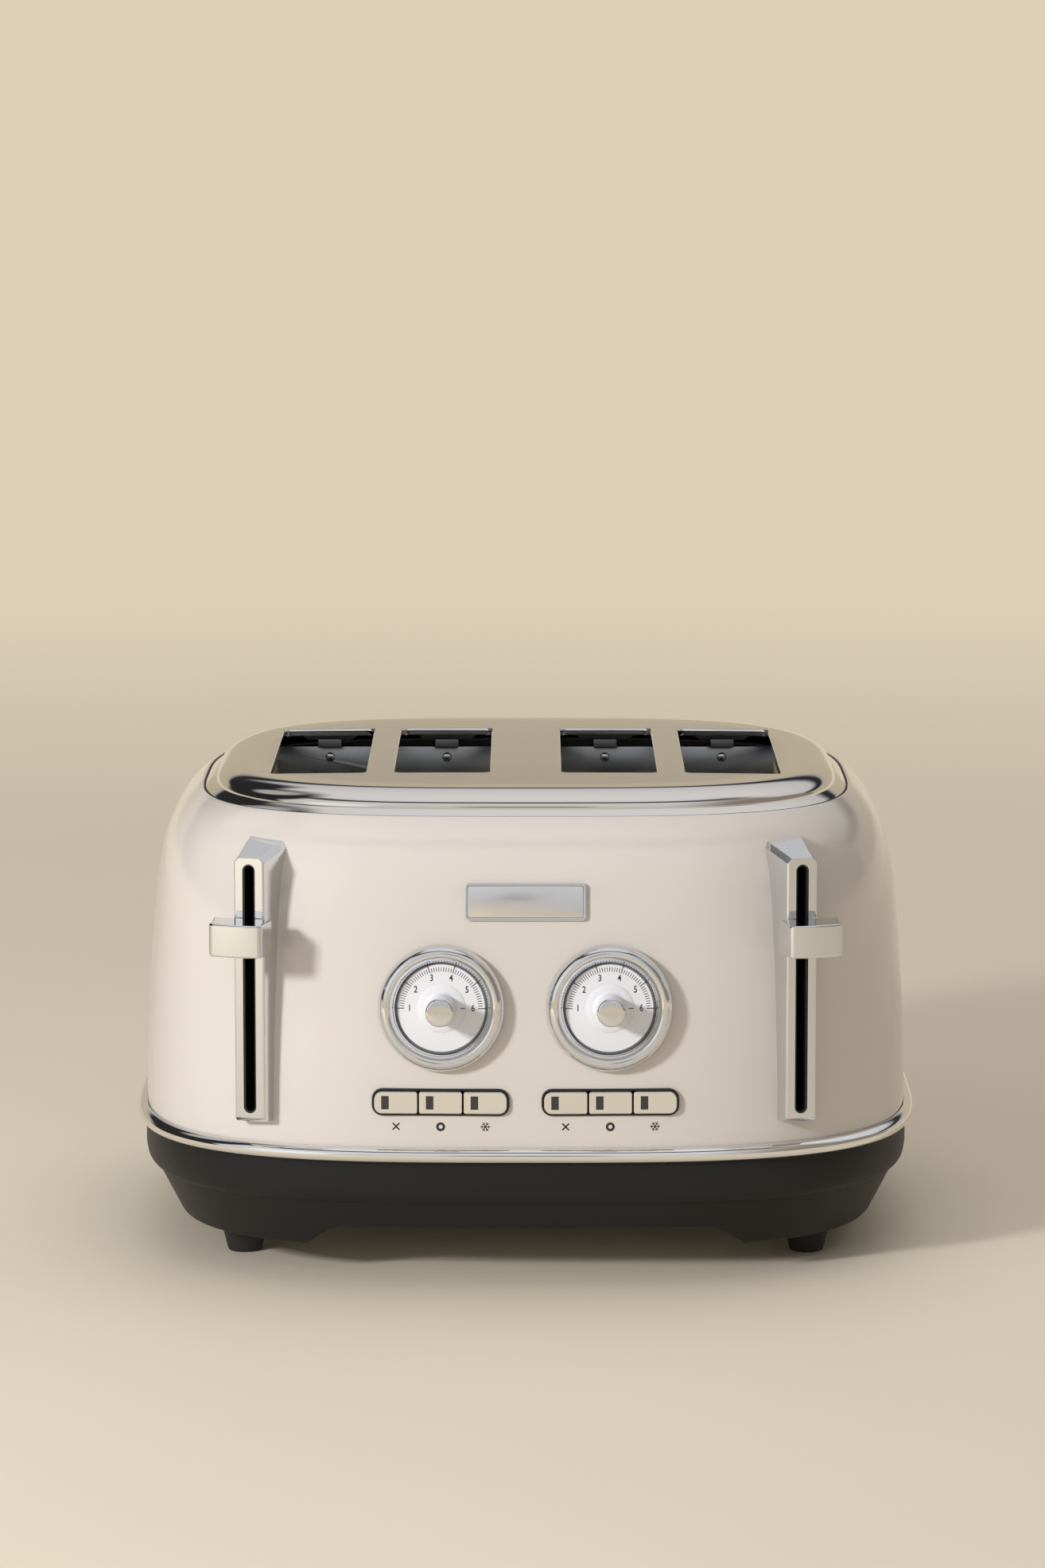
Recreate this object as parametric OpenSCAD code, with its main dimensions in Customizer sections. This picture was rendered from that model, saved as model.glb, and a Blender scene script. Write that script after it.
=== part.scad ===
// Four-slice pop-up toaster: enamelled steel body on a moulded base, a pressed steel top with
// four slots, two heating chambers side by side, each with its own lever, dial and buttons.
// Units are millimetres, +Z is up and the front faces -Y. The origin is on the surface that
// the toaster stands on, under the middle of its overall box. Every paired piece is drawn for
// the right-hand side and mirrored for the left.

/* [Body shell] */
// Width of the enamelled body at its foot
body_w = 314; // [290:1:380]
// Depth of the enamelled body at its foot
body_d = 298; // [280:1:360]
// Squareness of the outline seen from above (2 is an ellipse)
corner_power = 3.3; // [2.8:0.1:4]
// Height of the body's foot above the table
body_foot = 54; // [50:1:65]
// Height of the body shell from its foot to its top rim
body_h = 131; // [120:1:158]
// How far the wall leans in, evenly, by the time it reaches the rim
wall_lean = 9.7; // [4:0.1:12]
// How much further the rounded shoulder comes in at the rim
shoulder_in = 13.4; // [10:0.1:18]
// Sheet thickness of the body shell
body_wall = 1; // [0.6:0.1:1.6]

/* [Top and slots] */
// Width of one bread slot
slot_w = 38.5; // [32:0.5:41]
// Length of one bread slot, front to back
slot_l = 138; // [115:1:150]
// Distance from the middle of the toaster to the nearest slot edge
slot_inset = 14.7; // [13:0.1:18]
// Strip of top plate between the two slots of one pair
slot_rib = 11.8; // [11:0.1:15]
// Rise of the top plate above the body rim
cap_rise = 9.2; // [8:0.1:12]
// How far the rounded edge of the top runs in from the crease
cap_edge_run = 13.5; // [10:0.1:15]
// Sheet thickness of the top
cap_wall = 1; // [0.6:0.1:1.5]

/* [Base] */
// Height of the bottom edge of the base skirt
skirt_low = 12.7; // [10:0.1:16]
// Height of the crease that runs round the base
crease_z = 32.4; // [28:0.1:36]
// How far the skirt tapers in between the crease and its bottom edge
skirt_taper = 9.8; // [5:0.1:12]
// Height of the raised arch between the feet, front and back
arch_z = 22; // [18:0.5:25]
// Half width of the arch
arch_half_w = 76; // [50:1:85]
// Wall thickness of the base moulding
base_wall = 3.2; // [2.8:0.1:4]
// Distance of each foot in from the side of the body
foot_side_in = 42.5; // [38:0.5:55]
// Distance of each foot in from the front or back of the body
foot_end_in = 68.5; // [60:0.5:80]
// Radius of a foot where it meets the table
foot_r = 7; // [5:0.5:9]

/* [Levers] */
// Distance of each lever housing in from the side of the body
lever_inset = 48; // [44:0.1:56]
// Turn of the housing towards the side of the toaster, in degrees
lever_yaw = 16; // [0:1:20]
// How far the housing's face stands out from the body at its foot
housing_out = 9.5; // [8:0.5:14]
// Width of the housing's front face
housing_w = 12.4; // [11:0.1:15]
// Widening of each flank towards the body, in degrees
housing_splay = 8; // [4:1:12]
// Height of the bottom of the housing's front face
housing_low = 67; // [62:0.1:72]
// Length of the housing's front face
housing_l = 104; // [100:0.1:110]
// Width of the slot that the lever travels in
track_w = 5.2; // [4.8:0.1:6.4]
// Height of the lever at rest
lever_z = 140.6; // [136:0.1:141]
// Travel of the lever down to the latch
lever_down = 58; // [45:1:60]
// Travel of the lever up, to lift small slices
lever_up = 22; // [10:1:24]
// Width of the lever knob's front
knob_w = 21.8; // [20:0.1:26]
// Height of the lever knob
knob_h = 13; // [10:0.1:14]
// Depth of the lever knob, front to back
knob_d = 17.5; // [14:0.1:20]
// Gap between the lever knob and the housing's face
knob_gap = 1; // [0.6:0.1:2]

/* [Dials] */
// Distance of each dial from the middle
dial_x = 33.1; // [31:0.1:40]
// Height of the dial's centre
dial_z = 112; // [108:0.5:116]
// Radius of the white dial face
dial_face_r = 17.2; // [14:0.1:21]
// Width of the chrome band round the dial
bezel_band = 6.5; // [5.5:0.1:8]
// How far the bezel stands out of the body
bezel_h = 6.5; // [5:0.1:8]
// How far the dial knob's tip stands out of the body
dial_knob_out = 19.5; // [16:0.1:24]
// Radius of the chrome cap on the dial knob
dial_cap_r = 5.65; // [4.8:0.05:7]
// Radius of the control shaft
shaft_r = 3; // [2.5:0.1:3.6]

/* [Buttons and badge] */
// Distance of the middle of a row of three buttons from the middle of the toaster
button_x = 33.5; // [31:0.1:38]
// Height of the buttons' centres
button_z = 74.5; // [73:0.5:78]
// Width of one button
button_w = 17.1; // [14:0.1:18]
// Height of one button
button_h = 8.8; // [8:0.1:11]
// Travel of a button
button_travel = 1.6; // [0.5:0.1:1.8]
// Width of the blank badge plate
badge_w = 48; // [40:1:56]
// Height of the blank badge plate
badge_h = 14.8; // [11:0.1:17]
// Height of the badge's centre
badge_z = 153.6; // [150:0.1:158]

/* [Heating chambers] */
// Depth of the end plates' top edge below the top plate
chamber_drop = 8.2; // [8:0.1:12]
// Space between a slot's end and the end plate
end_gap = 5.5; // [4:0.5:8]
// Thickness of the chamber's steel sheet
sheet = 0.8; // [0.5:0.1:1.2]
// Height of a bread lifter's top edge at rest
lifter_z = 124; // [120:1:128]
// Diameter of the bread guide wires
guide_wire = 2; // [1.5:0.1:2.4]
// How far each bread guide closes in on the slice
guide_close = 5; // [3:0.5:6]
// Radius of the carriage's guide rod
rod_r = 2.5; // [2:0.1:3]
// Height of a crumb tray's rim above its floor
tray_h = 8; // [6:0.5:9]

/* [Hidden] */
$fn = 64;

// ---- Clearances shared by the pieces that fit together ----
fit = 0.3;            // between pieces that must not touch
running = 0.06;       // radial play of a shaft or rod in its bore

// ---- Outline and wall of the body ----
outline_points = 72;
body_top = body_foot + body_h;
lean_power = 2;
shoulder_power = 13;
wall_steps = 13;

function lean(z) = let (t = max(0, (z - body_foot) / body_h))
    wall_lean * pow(t, lean_power) + shoulder_in * pow(t, shoulder_power);
function half_w(z) = body_w / 2 - lean(z);
function half_d(z) = body_d / 2 - lean(z);
// Where the body's front wall stands at sideways place x and height z
function front_y(x, z) = -half_d(z)
    * pow(1 - pow(abs(x) / half_w(z), corner_power), 1 / corner_power);
function front_tilt(x, z) = atan((front_y(x, z + 1) - front_y(x, z - 1)) / 2);
function front_yaw(x, z) = atan((front_y(x + 1, z) - front_y(x - 1, z)) / 2);

// One ring of the outline with the given half width and half depth
function outline(a, b) = [
    for (i = [0 : outline_points - 1])
        let (th = 360 * i / outline_points,
             r = 1 / pow(pow(abs(cos(th)) / a, corner_power)
                       + pow(abs(sin(th)) / b, corner_power), 1 / corner_power))
        [r * cos(th), r * sin(th)]
];
// A ring given as [inward offset from the body's foot outline, height]
function ring(inset, z) = [for (p = outline(body_w / 2 - inset, body_d / 2 - inset))
    [p[0], p[1], z]];

function side_faces(k, next) = [
    for (i = [0 : outline_points - 1])
        let (j = (i + 1) % outline_points, a = k * outline_points, b = next * outline_points)
        each [[a + i, b + i, b + j], [a + i, b + j, a + j]]
];

// A solid through rings, each an [inset, height] pair. Rings run from the inside over the
// edge to the outside; the first and last are closed flat.
module loft(rings) {
    last = len(rings) - 1;
    polyhedron(
        points = [for (r = rings) each ring(r[0], r[1])],
        faces = concat(
            [[for (i = [0 : outline_points - 1]) i]],
            [for (k = [0 : last - 1]) each side_faces(k, k + 1)],
            [[for (i = [outline_points - 1 : -1 : 0]) last * outline_points + i]]));
}

// A hoop through rings that come back to the first one: up the outside, down the inside
module hoop(rings) {
    polyhedron(
        points = [for (r = rings) each ring(r[0], r[1])],
        faces = [for (k = [0 : len(rings) - 1]) each side_faces(k, (k + 1) % len(rings))]);
}

// A flat plate with the body's outline
module outline_plate(inset, z0, z1) {
    translate([0, 0, z0]) linear_extrude(z1 - z0)
        polygon(outline(body_w / 2 - inset, body_d / 2 - inset));
}

// ---- Helpers ----
module handed(side) {
    mirror([side == "left" ? 1 : 0, 0, 0]) children();
}
module both_sides() {
    for (side = ["left", "right"]) handed(side) children();
}
module four_corners(x, y) {
    for (sx = [-1, 1], sy = [-1, 1]) translate([sx * x, sy * y, 0]) children();
}
// Children made for the rear (1) are turned to the front (-1)
module facing(sign) {
    mirror([0, sign < 0 ? 1 : 0, 0]) children();
}
// Places children on the front wall: local X sideways, Y up the wall, Z straight out of it
module on_front(x, z) {
    translate([x, front_y(x, z), z])
        rotate([0, 0, front_yaw(x, z)]) rotate([90 - front_tilt(x, z), 0, 0]) children();
}
module box(x, y, z) {
    translate([x[0], y[0], z[0]]) cube([x[1] - x[0], y[1] - y[0], z[1] - z[0]]);
}
module round_rect(w, h, r) {
    square([w - 2 * r, h], center = true);
    square([w, h - 2 * r], center = true);
    for (sx = [-1, 1], sy = [-1, 1])
        translate([sx * (w / 2 - r), sy * (h / 2 - r)]) circle(r);
}
// A straight wire along Y, and one standing upright
module wire_y(x, y0, y1, z, r) {
    translate([x, y0, z]) rotate([-90, 0, 0]) cylinder(h = y1 - y0, r = r, $fn = 24);
}
module wire_z(x, y, z0, z1, r) {
    translate([x, y, z0]) cylinder(h = z1 - z0, r = r, $fn = 24);
}

// ---- Derived places ----
// Body rim, seal and top
ledge_z = body_top - 2.2;
ledge_t = 1;
rim_t = 0.8;
seal_t = 0.8;
rim_inset = lean(body_top);
seal_top = ledge_z + ledge_t + seal_t;
cap_gap = 1.7;
flange_inset = rim_inset + cap_gap;
flange_in = 3.6;
flange_rise = 2.3;
crease_inset = flange_inset + flange_in;
cap_shoulder_z = seal_top + flange_rise + 0.4;
cap_top_z = body_top + cap_rise;
cap_crown = 1.1;
ledge_in = 6;
lip_drop = 3;
lip_t = 1;
slot_corner = 3.5;
slot_pitch = slot_w + slot_rib;
inner_slot_x = slot_inset + slot_w / 2;
slot_xs = [inner_slot_x, inner_slot_x + slot_pitch];

// Base and trim
base_top = body_foot - 4.2;
band_lip = body_foot + 2.3;
band_out = 4;
base_bulge = -0.5;
floor_t = 2.5;
floor_z = arch_z;
flange_w = 34;
spigot_gap = 2.2;
spigot_in = spigot_gap + 1 + fit;
plate_t = 1.1;
plate_lap = 6;
foot_top_r = foot_r + 3.5;
boss_low = skirt_low + 1.3;
boss_r = foot_top_r + 1;
peg_r = 2.5;
low_inset = skirt_taper - base_bulge + 3;
foot_x = body_w / 2 - foot_side_in;
foot_y = body_d / 2 - foot_end_in;
grip_half_l = 60;
grip_in = 2.2;
grip_pitch = 4.6;
gland_z = 40.5;
gland_r = 6.5;
screw_r = 1.45;
screw_head_r = 2.8;
screw_count = 8;

// Chambers
chamber_in = 6.5;
plate_y = slot_l / 2 + end_gap + 0.5;
chamber_top = cap_top_z - chamber_drop;
card_t = 1;
card_gap = 3.6;
card_xs = [slot_inset - card_gap, slot_inset + slot_w + slot_rib / 2,
           slot_inset + 2 * slot_w + slot_rib + card_gap];
chamber_out = card_xs[2] + 5;
lifter_h = 12;
lifter_t = 1.5;
guide_open = 1.8;
lifter_rack = slot_w / 2 - guide_open - guide_close - guide_wire / 2 - 2.4;
guide_low = 60;
guide_high = chamber_top - 17;
tray_floor = floor_z + floor_t + fit;
tray_in = chamber_in + 10;
tray_out = chamber_out - 15.1;
tray_wall = 0.8;
tray_y = -slot_l / 2;
tray_face = base_bulge - fit;

// Levers
lever_x = body_w / 2 - lever_inset;
lever_face_y = front_y(lever_x, housing_low) - housing_out;
housing_high = housing_low + housing_l;
housing_wall = 2.4;
track_end = 1.9;
tongue_t = 3;
tongue_h = 8;
knob_out = knob_gap + knob_d;
knob_flare = 1.2;
knob_skew = 2.3;
rod_y = -(plate_y + 20.5);
tongue_l = (rod_y - lever_face_y) / cos(lever_yaw);
rod_x = lever_x - tongue_l * sin(lever_yaw);
hub_r = rod_r + 3.5;
bar_top = lifter_z - 5;
bar_t = 4;
bar_y = [-(plate_y + 13), -(plate_y + 5)];
bracket_z = chamber_top - 15;
spring_x = rod_x - 16;
spring_y = -(plate_y + 9);
spring_r = 4;
spring_wire = 0.7;
magnet_x = (slot_xs[0] + slot_xs[1]) / 2;

// Dials and buttons, measured out from the wall
bezel_r = dial_face_r + 1.5 + bezel_band;
bezel_in_r = dial_face_r + 1.2;
dial_hole_r = bezel_in_r + 1.6;
face_top = 2.2;
face_back = -2.8;
skirt_r = dial_face_r * 0.58;
stem_r = dial_cap_r - 0.8;
pot_r = 8;
pot_front = -6;
pot_back = -15;
board_y = front_y(0, dial_z) + 18;
board_t = 1.6;
board_x = [5, 62];
board_z = [62, 128];
button_gap = 0.55;
button_pitch = button_w + button_gap;
row_w = 3 * button_w + 2 * button_gap;
frame_rim = 1;
button_out = 2.2;
switch_y = board_y - 4.2;
stem_l = switch_y - front_y(button_x, button_z) - button_travel - 0.7;

// Furthest reach to the front, which the tray handles match at the back
reach_y = -front_y(dial_x, dial_z) + dial_knob_out;

// ---- Outer shells ----
module body_shell() {
    outer = [for (i = [0 : wall_steps])
        let (z = body_foot + body_h * (1 - pow(1 - i / wall_steps, 1.6))) [lean(z), z]];
    inner = [for (i = [6 : -1 : 0])
        let (z = body_foot + (ledge_z - body_foot) * (1 - pow(1 - i / 6, 1.6)))
        [lean(z) + body_wall, z]];
    color("antiquewhite") difference() {
        hoop(concat(outer,
            [[rim_inset + rim_t, body_top], [rim_inset + rim_t, ledge_z + ledge_t],
             [rim_inset + ledge_in, ledge_z + ledge_t], [rim_inset + ledge_in, ledge_z]],
            inner));
        both_sides() {
            at_lever() box([-track_w / 2 - 1, track_w / 2 + 1], [0, 45],
                [housing_low + track_end, housing_high - track_end - 1]);
            on_front(dial_x, dial_z) cylinder(h = 12, r = dial_hole_r + 0.1, center = true);
            on_front(button_x, button_z) translate([0, 0, -6]) linear_extrude(12)
                round_rect(row_w + 2 * frame_rim - 0.3, button_h + 2 * frame_rim - 0.3, 2.6);
        }
    }
}

module top_cap() {
    edge_steps = 6;
    top_inset = crease_inset + 0.5 + cap_edge_run;
    edge = [for (i = [0 : edge_steps]) let (th = 90 * i / edge_steps)
        [crease_inset + 0.5 + cap_edge_run * (1 - cos(th)),
         cap_shoulder_z + (cap_top_z - cap_shoulder_z) * sin(th)]];
    crown = [for (s = [0.85, 0.65, 0.35]) [top_inset + (body_d / 2 - top_inset) * (1 - s),
         cap_top_z + cap_crown * (1 - s * s)]];
    under = [for (s = [0.35, 1]) [top_inset + (body_d / 2 - top_inset) * (1 - s),
         cap_top_z + cap_crown * (1 - s * s) - cap_wall]];
    color("silver") difference() {
        union() {
            loft(concat(under,
                [[crease_inset + 1.8, cap_shoulder_z + 1], [crease_inset + 1.6, seal_top + 1.6],
                 [flange_inset + 1, seal_top], [flange_inset, seal_top],
                 [crease_inset, seal_top + flange_rise]],
                edge, crown));
            for_each_slot() {
                translate([0, 0, cap_top_z - lip_drop]) linear_extrude(lip_drop)
                    round_rect(slot_w + 2 * lip_t, slot_l + 2 * lip_t, slot_corner + lip_t);
                for (sy = [-1, 1]) facing(sy) slot_tab();
            }
        }
        for_each_slot() translate([0, 0, chamber_top + 3]) linear_extrude(20)
            round_rect(slot_w, slot_l, slot_corner);
    }
}
module for_each_slot() {
    both_sides() for (x = slot_xs) translate([x, 0, 0]) children();
}
// Flap that hangs from each end of a slot, with a tongue that hooks over the end plate
module slot_tab() {
    z0 = cap_top_z - lip_drop + 1;
    translate([0, slot_l / 2 + lip_t + 0.6, 0]) rotate([90, 0, 0]) linear_extrude(0.8)
        polygon([[-15, z0], [15, z0], [9, chamber_top + 3.5], [5, chamber_top + 3],
                 [5, chamber_top], [-5, chamber_top], [-5, chamber_top + 3],
                 [-9, chamber_top + 3.5]]);
    box([-5, 5], [slot_l / 2 + lip_t - 0.2, plate_y + sheet + 1.2], [chamber_top, chamber_top + 0.8]);
}

module cap_gasket() {
    outer = rim_inset + rim_t + 0.2;
    color("black") hoop([[outer, ledge_z + ledge_t], [outer, seal_top],
        [rim_inset + ledge_in - 0.5, seal_top], [rim_inset + ledge_in - 0.5, ledge_z + ledge_t]]);
}

module trim_band() {
    out_steps = 6;
    mid = (base_top + band_lip) / 2;
    half = (band_lip - base_top) / 2;
    bulge = [for (i = [0 : out_steps]) let (th = -90 + 180 * i / out_steps)
        [-fit - (band_out - fit) * cos(th), mid + half * sin(th)]];
    color("silver") hoop(concat(bulge, [[-fit, body_foot], [spigot_gap + 1, body_foot],
        [spigot_gap + 1, base_top]]));
}

module base() {
    bend = [[1.3, crease_z + 1.6], [0.1, crease_z + 3.4], [base_bulge, crease_z + 6.5]];
    outer = concat([[low_inset, skirt_low], [skirt_inset(crease_z), crease_z]], bend,
        [[base_bulge, base_top - 4], [0, base_top]]);
    inner = concat([[base_bulge + base_wall, base_top - 4]],
        [for (i = [2 : -1 : 0]) [bend[i][0] + base_wall, bend[i][1]]],
        [[skirt_inset(crease_z) + base_wall, crease_z]]);
    floor_top = floor_z + floor_t;
    color("dimgray") difference() {
        union() {
            hoop(concat(outer,
                [[spigot_in, base_top], [spigot_in, body_foot + 6], [spigot_in + 2, body_foot + 6],
                 [spigot_in + 2, base_top - 3]],
                inner,
                [[skirt_inset(floor_top) + base_wall, floor_top], [flange_w, floor_top],
                 [flange_w, floor_z], [skirt_inset(floor_z) + base_wall, floor_z],
                 [low_inset + base_wall, skirt_low]]));
            four_corners(foot_x, foot_y) translate([0, 0, boss_low])
                cylinder(h = floor_z - boss_low + 1, r = boss_r);
            // posts that carry the control boards
            both_sides() for (x = [12, 55]) translate([x, board_y + board_t / 2, floor_z + 1])
                cylinder(h = board_z[0] - floor_z - 1, r = 4);
        }
        // arches front and back
        rotate([90, 0, 0]) linear_extrude(body_d + 20, center = true)
            polygon([[-arch_half_w - 13, 0], [-arch_half_w - 12, skirt_low], [-arch_half_w, arch_z],
                     [arch_half_w, arch_z], [arch_half_w + 12, skirt_low], [arch_half_w + 13, 0]]);
        // finger grips under each side, with upright ribs left standing in them
        intersection() {
            hoop([[skirt_inset(skirt_low - 2) - 4, skirt_low - 2],
                [skirt_inset(crease_z) - 4, crease_z], [skirt_inset(crease_z) + grip_in, crease_z],
                [skirt_inset(skirt_low - 2) + grip_in, skirt_low - 2]]);
            grip_prism(0, true);
        }
        // room for the end plates' feet and the carriage rods, which stand on the bottom plate
        both_sides() for (sy = [-1, 1]) facing(sy) box([chamber_in - 1, chamber_out + 1],
            [plate_y - 1, plate_y + sheet + 1], [floor_z - 1, floor_z + floor_t + 1]);
        both_sides() translate([rod_x, rod_y, floor_z - 1]) cylinder(h = floor_t + 2, r = rod_r + 1);
        // sockets for the feet
        four_corners(foot_x, foot_y) cylinder(h = floor_z + 1, r = peg_r);
        // slots for the crumb trays and the hole for the cord gland
        both_sides() box([tray_in - 1, tray_out + 1], [body_d / 2 - 30, body_d / 2 + 5],
            [floor_z + floor_t, tray_floor + tray_h + 1]);
        translate([0, body_d / 2 - 20, gland_z]) rotate([-90, 0, 0]) cylinder(h = 30, r = gland_r);
        screw_places() cylinder(h = floor_z + floor_t - 0.4, r = screw_r + 0.05);
        screw_places() cylinder(h = floor_z - plate_t, r = screw_head_r + fit);
    }
}
// Inward offset of the skirt's outer face at height z, below the crease
function skirt_inset(z) = low_inset - (z - skirt_low) * skirt_taper / (crease_z - skirt_low);
// The arched outline of the finger grips, as a bar running from side to side
module grip_prism(grow, ribs) {
    half_l = grip_half_l + grow;
    high = crease_z - 1.5 - skirt_low + grow / 2;
    rotate([90, 0, 90]) linear_extrude(body_w + 20, center = true) difference() {
        polygon(concat([[half_l, skirt_low - 3]],
            [for (i = [0 : 20]) let (th = 9 * i)
                [half_l * cos(th), skirt_low + high * pow(sin(th), 0.8)]],
            [[-half_l, skirt_low - 3]]));
        if (ribs) for (k = [-11 : 11]) translate([k * grip_pitch - 0.8, 0]) square([1.6, 60]);
    }
}
module screw_places() {
    inset = flange_w - plate_lap / 2;
    places = outline(body_w / 2 - inset, body_d / 2 - inset);
    for (k = [0 : screw_count - 1])
        let (p = places[floor((k + 0.5) * outline_points / screw_count)])
        translate([p[0], p[1], 0]) children();
}

module bottom_plate() {
    color("gainsboro") difference() {
        outline_plate(flange_w - plate_lap, floor_z - plate_t, floor_z);
        screw_places() cylinder(h = 50, r = screw_r + 0.1);
        four_corners(foot_x, foot_y) cylinder(h = 50, r = boss_r + fit);
    }
}

module plate_screws() {
    color("gray") screw_places() {
        translate([0, 0, floor_z - plate_t]) cylinder(h = plate_t + 2, r = screw_r);
        translate([0, 0, floor_z - plate_t - 1.6]) cylinder(h = 1.6, r = screw_head_r);
    }
}

module feet() {
    color("black") four_corners(foot_x, foot_y) {
        rotate_extrude() polygon([[0, 0], [foot_r - 1.2, 0], [foot_r - 0.3, 0.4], [foot_r, 1.4],
            [foot_top_r, boss_low], [0, boss_low]]);
        translate([0, 0, boss_low]) cylinder(h = 7, r = peg_r - 0.05);
    }
}

module badge_plate() {
    rim = 1.3;
    color("silver") seated() on_front(0, badge_z) difference() {
        translate([0, 0, -1]) linear_extrude(2.6) round_rect(badge_w, badge_h, 2);
        translate([0, 0, 1]) linear_extrude(2)
            round_rect(badge_w - 2 * rim, badge_h - 2 * rim, 1.2);
    }
}

module cord_gland() {
    wall_y = body_d / 2 - base_bulge;
    color("black") translate([0, wall_y, gland_z]) rotate([-90, 0, 0]) difference() {
        union() {
            cylinder(h = 3, r = gland_r + 2.5);
            translate([0, 0, -12]) cylinder(h = 13, r = gland_r - 0.05);
        }
        translate([0, 0, -20]) cylinder(h = 40, r = 3.6);
    }
}

// ---- Levers ----
// Lever frame: origin on the housing's face, -Y straight out of it
module at_lever() {
    translate([lever_x, lever_face_y, 0]) rotate([0, 0, lever_yaw]) children();
}
// Plan of the housing from its face back to depth d, grown by g all round
module housing_plan(d, g) {
    splay = tan(housing_splay);
    half = housing_w / 2 + g;
    polygon([[-half, -g], [half, -g], [half + (d + g) * splay, d], [-half - (d + g) * splay, d]]);
}
module track(depth) {
    w = track_w;
    z0 = housing_low + track_end + w / 2;
    z1 = housing_high - track_end - w / 2 - 0.6;
    translate([0, depth, 0]) rotate([90, 0, 0]) linear_extrude(depth + 5) {
        translate([-w / 2, z0]) square([w, z1 - z0]);
        for (z = [z0, z1]) translate([0, z]) circle(w / 2);
    }
}
module lever_housing(side) {
    depth = 60;
    color("silver") handed(side) seated() at_lever() {
        difference() {
            intersection() {
                translate([0, 0, housing_low - 5]) linear_extrude(housing_l + 25)
                    housing_plan(depth, 0);
                rotate([90, 0, -90]) mirror([1, 0, 0]) linear_extrude(120, center = true)
                    polygon([[0, housing_low], [3, housing_low - 1.9], [depth, housing_low - 1.9],
                             [depth, housing_high + depth * 0.18], [0, housing_high]]);
            }
            track(depth + 1);
            translate([0, 0, housing_low + housing_wall]) linear_extrude(housing_l - 2 * housing_wall)
                polygon([[-4, housing_wall], [4, housing_wall], [6, depth], [-6, depth]]);
        }
    }
}
// The body's outer form as one solid, used to seat pieces on it
module body_blank() {
    loft([for (i = [0 : wall_steps])
        let (z = body_foot + body_h * (1 - pow(1 - i / wall_steps, 1.6))) [lean(z), z]]);
}

// Children with everything inside the body's outer face taken away
module seated() {
    difference() {
        children();
        body_blank();
    }
}

module lever_knob(side) {
    bow = 1.2;
    steps = 8;
    front_pts = [for (i = [0 : steps]) let (u = -1 + 2 * i / steps)
        [u * knob_w / 2, -knob_out + bow * u * u]];
    color("silver") handed(side) at_lever() difference() {
        translate([0, 0, lever_z - knob_h / 2]) linear_extrude(knob_h)
            polygon(concat(front_pts, [[knob_w / 2 + knob_flare + knob_skew, -knob_gap],
                                       [-knob_w / 2 - knob_flare + knob_skew, -knob_gap]]));
        box([-tongue_t / 2, tongue_t / 2], [-knob_out + 2.5, 0],
            [lever_z - tongue_h / 2, lever_z + tongue_h / 2]);
    }
}

module carriage(side) {
    color("lightsteelblue") handed(side) difference() {
        union() {
            at_lever() box([-tongue_t / 2, tongue_t / 2], [-knob_out + 2.5, tongue_l],
                [lever_z - tongue_h / 2, lever_z + tongue_h / 2]);
            translate([rod_x, rod_y, bar_top - bar_t]) cylinder(h = 28, r = hub_r);
            box([slot_xs[0] - 5, rod_x + 4], bar_y, [bar_top - bar_t, bar_top]);
            box([rod_x - 4, rod_x + 4], [rod_y, bar_y[1]], [bar_top - bar_t, bar_top]);
        }
        translate([rod_x, rod_y, 0]) cylinder(h = 200, r = rod_r + running);
    }
}
module carriage_rod(side) {
    color("silver") handed(side) translate([rod_x, rod_y, floor_z])
        cylinder(h = bracket_z + 2 - floor_z, r = rod_r);
}
module carriage_spring(side) {
    z0 = bar_top;
    z1 = bracket_z;
    turns = 16;
    pitch = (z1 - z0 - 8) / turns;
    color("silver") handed(side) translate([spring_x, spring_y, 0]) {
        for (k = [0 : turns]) translate([0, 0, z0 + 4 + k * pitch])
            rotate_extrude($fn = 32) translate([spring_r - spring_wire, 0]) circle(spring_wire, $fn = 16);
        for (a = [0, 180]) rotate([0, 0, a])
            translate([spring_r - spring_wire, 0, z0]) cylinder(h = z1 - z0, r = 0.5, $fn = 16);
    }
}
module electromagnet(side) {
    top = bar_top - bar_t - lever_down - 0.6;
    low = 40;
    color("peru") handed(side) translate([magnet_x, 0, 0]) {
        box([-11, 11], [bar_y[0] + 1, bar_y[1] + 1], [low + 3, low + 6]);
        box([-11, -6], [bar_y[0] + 1, bar_y[1] + 1], [low + 5, top]);
        box([6, 11], [bar_y[0] + 1, bar_y[1] + 1], [low + 5, top]);
        translate([0, (bar_y[0] + bar_y[1]) / 2 + 1, low + 5]) cylinder(h = top - low - 5, r = 4);
        box([-11, 11], [bar_y[0] + 1, -plate_y - sheet], [low, low + 3.5]);
    }
}

// ---- Bread lifters and guides ----
module bread_lifters(side) {
    color("silver") handed(side) for (x = slot_xs) translate([x, 0, 0]) {
        box([-lifter_t / 2, lifter_t / 2], [bar_y[1], slot_l / 2],
            [lifter_z - lifter_h, lifter_z - 2]);
        for (k = [-3 : 3]) box([-lifter_rack, lifter_rack], [k * 20 - 1, k * 20 + 1],
            [lifter_z - 4, lifter_z]);
    }
}
// A wire cage beside each slot of a pair; which is -1 for the inner cages and 1 for the outer
module bread_guides(side, which) {
    r = guide_wire / 2;
    reach = plate_y + sheet + 1.5;
    color("silver") handed(side) for (x = slot_xs)
        translate([x + which * (slot_w / 2 - guide_open), 0, 0]) {
            for (z = [guide_low, guide_high]) wire_y(0, -reach, reach, z, r);
            for (k = [-3 : 3]) wire_z(0, k * 20, guide_low, guide_high, r * 0.8);
        }
}

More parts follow.
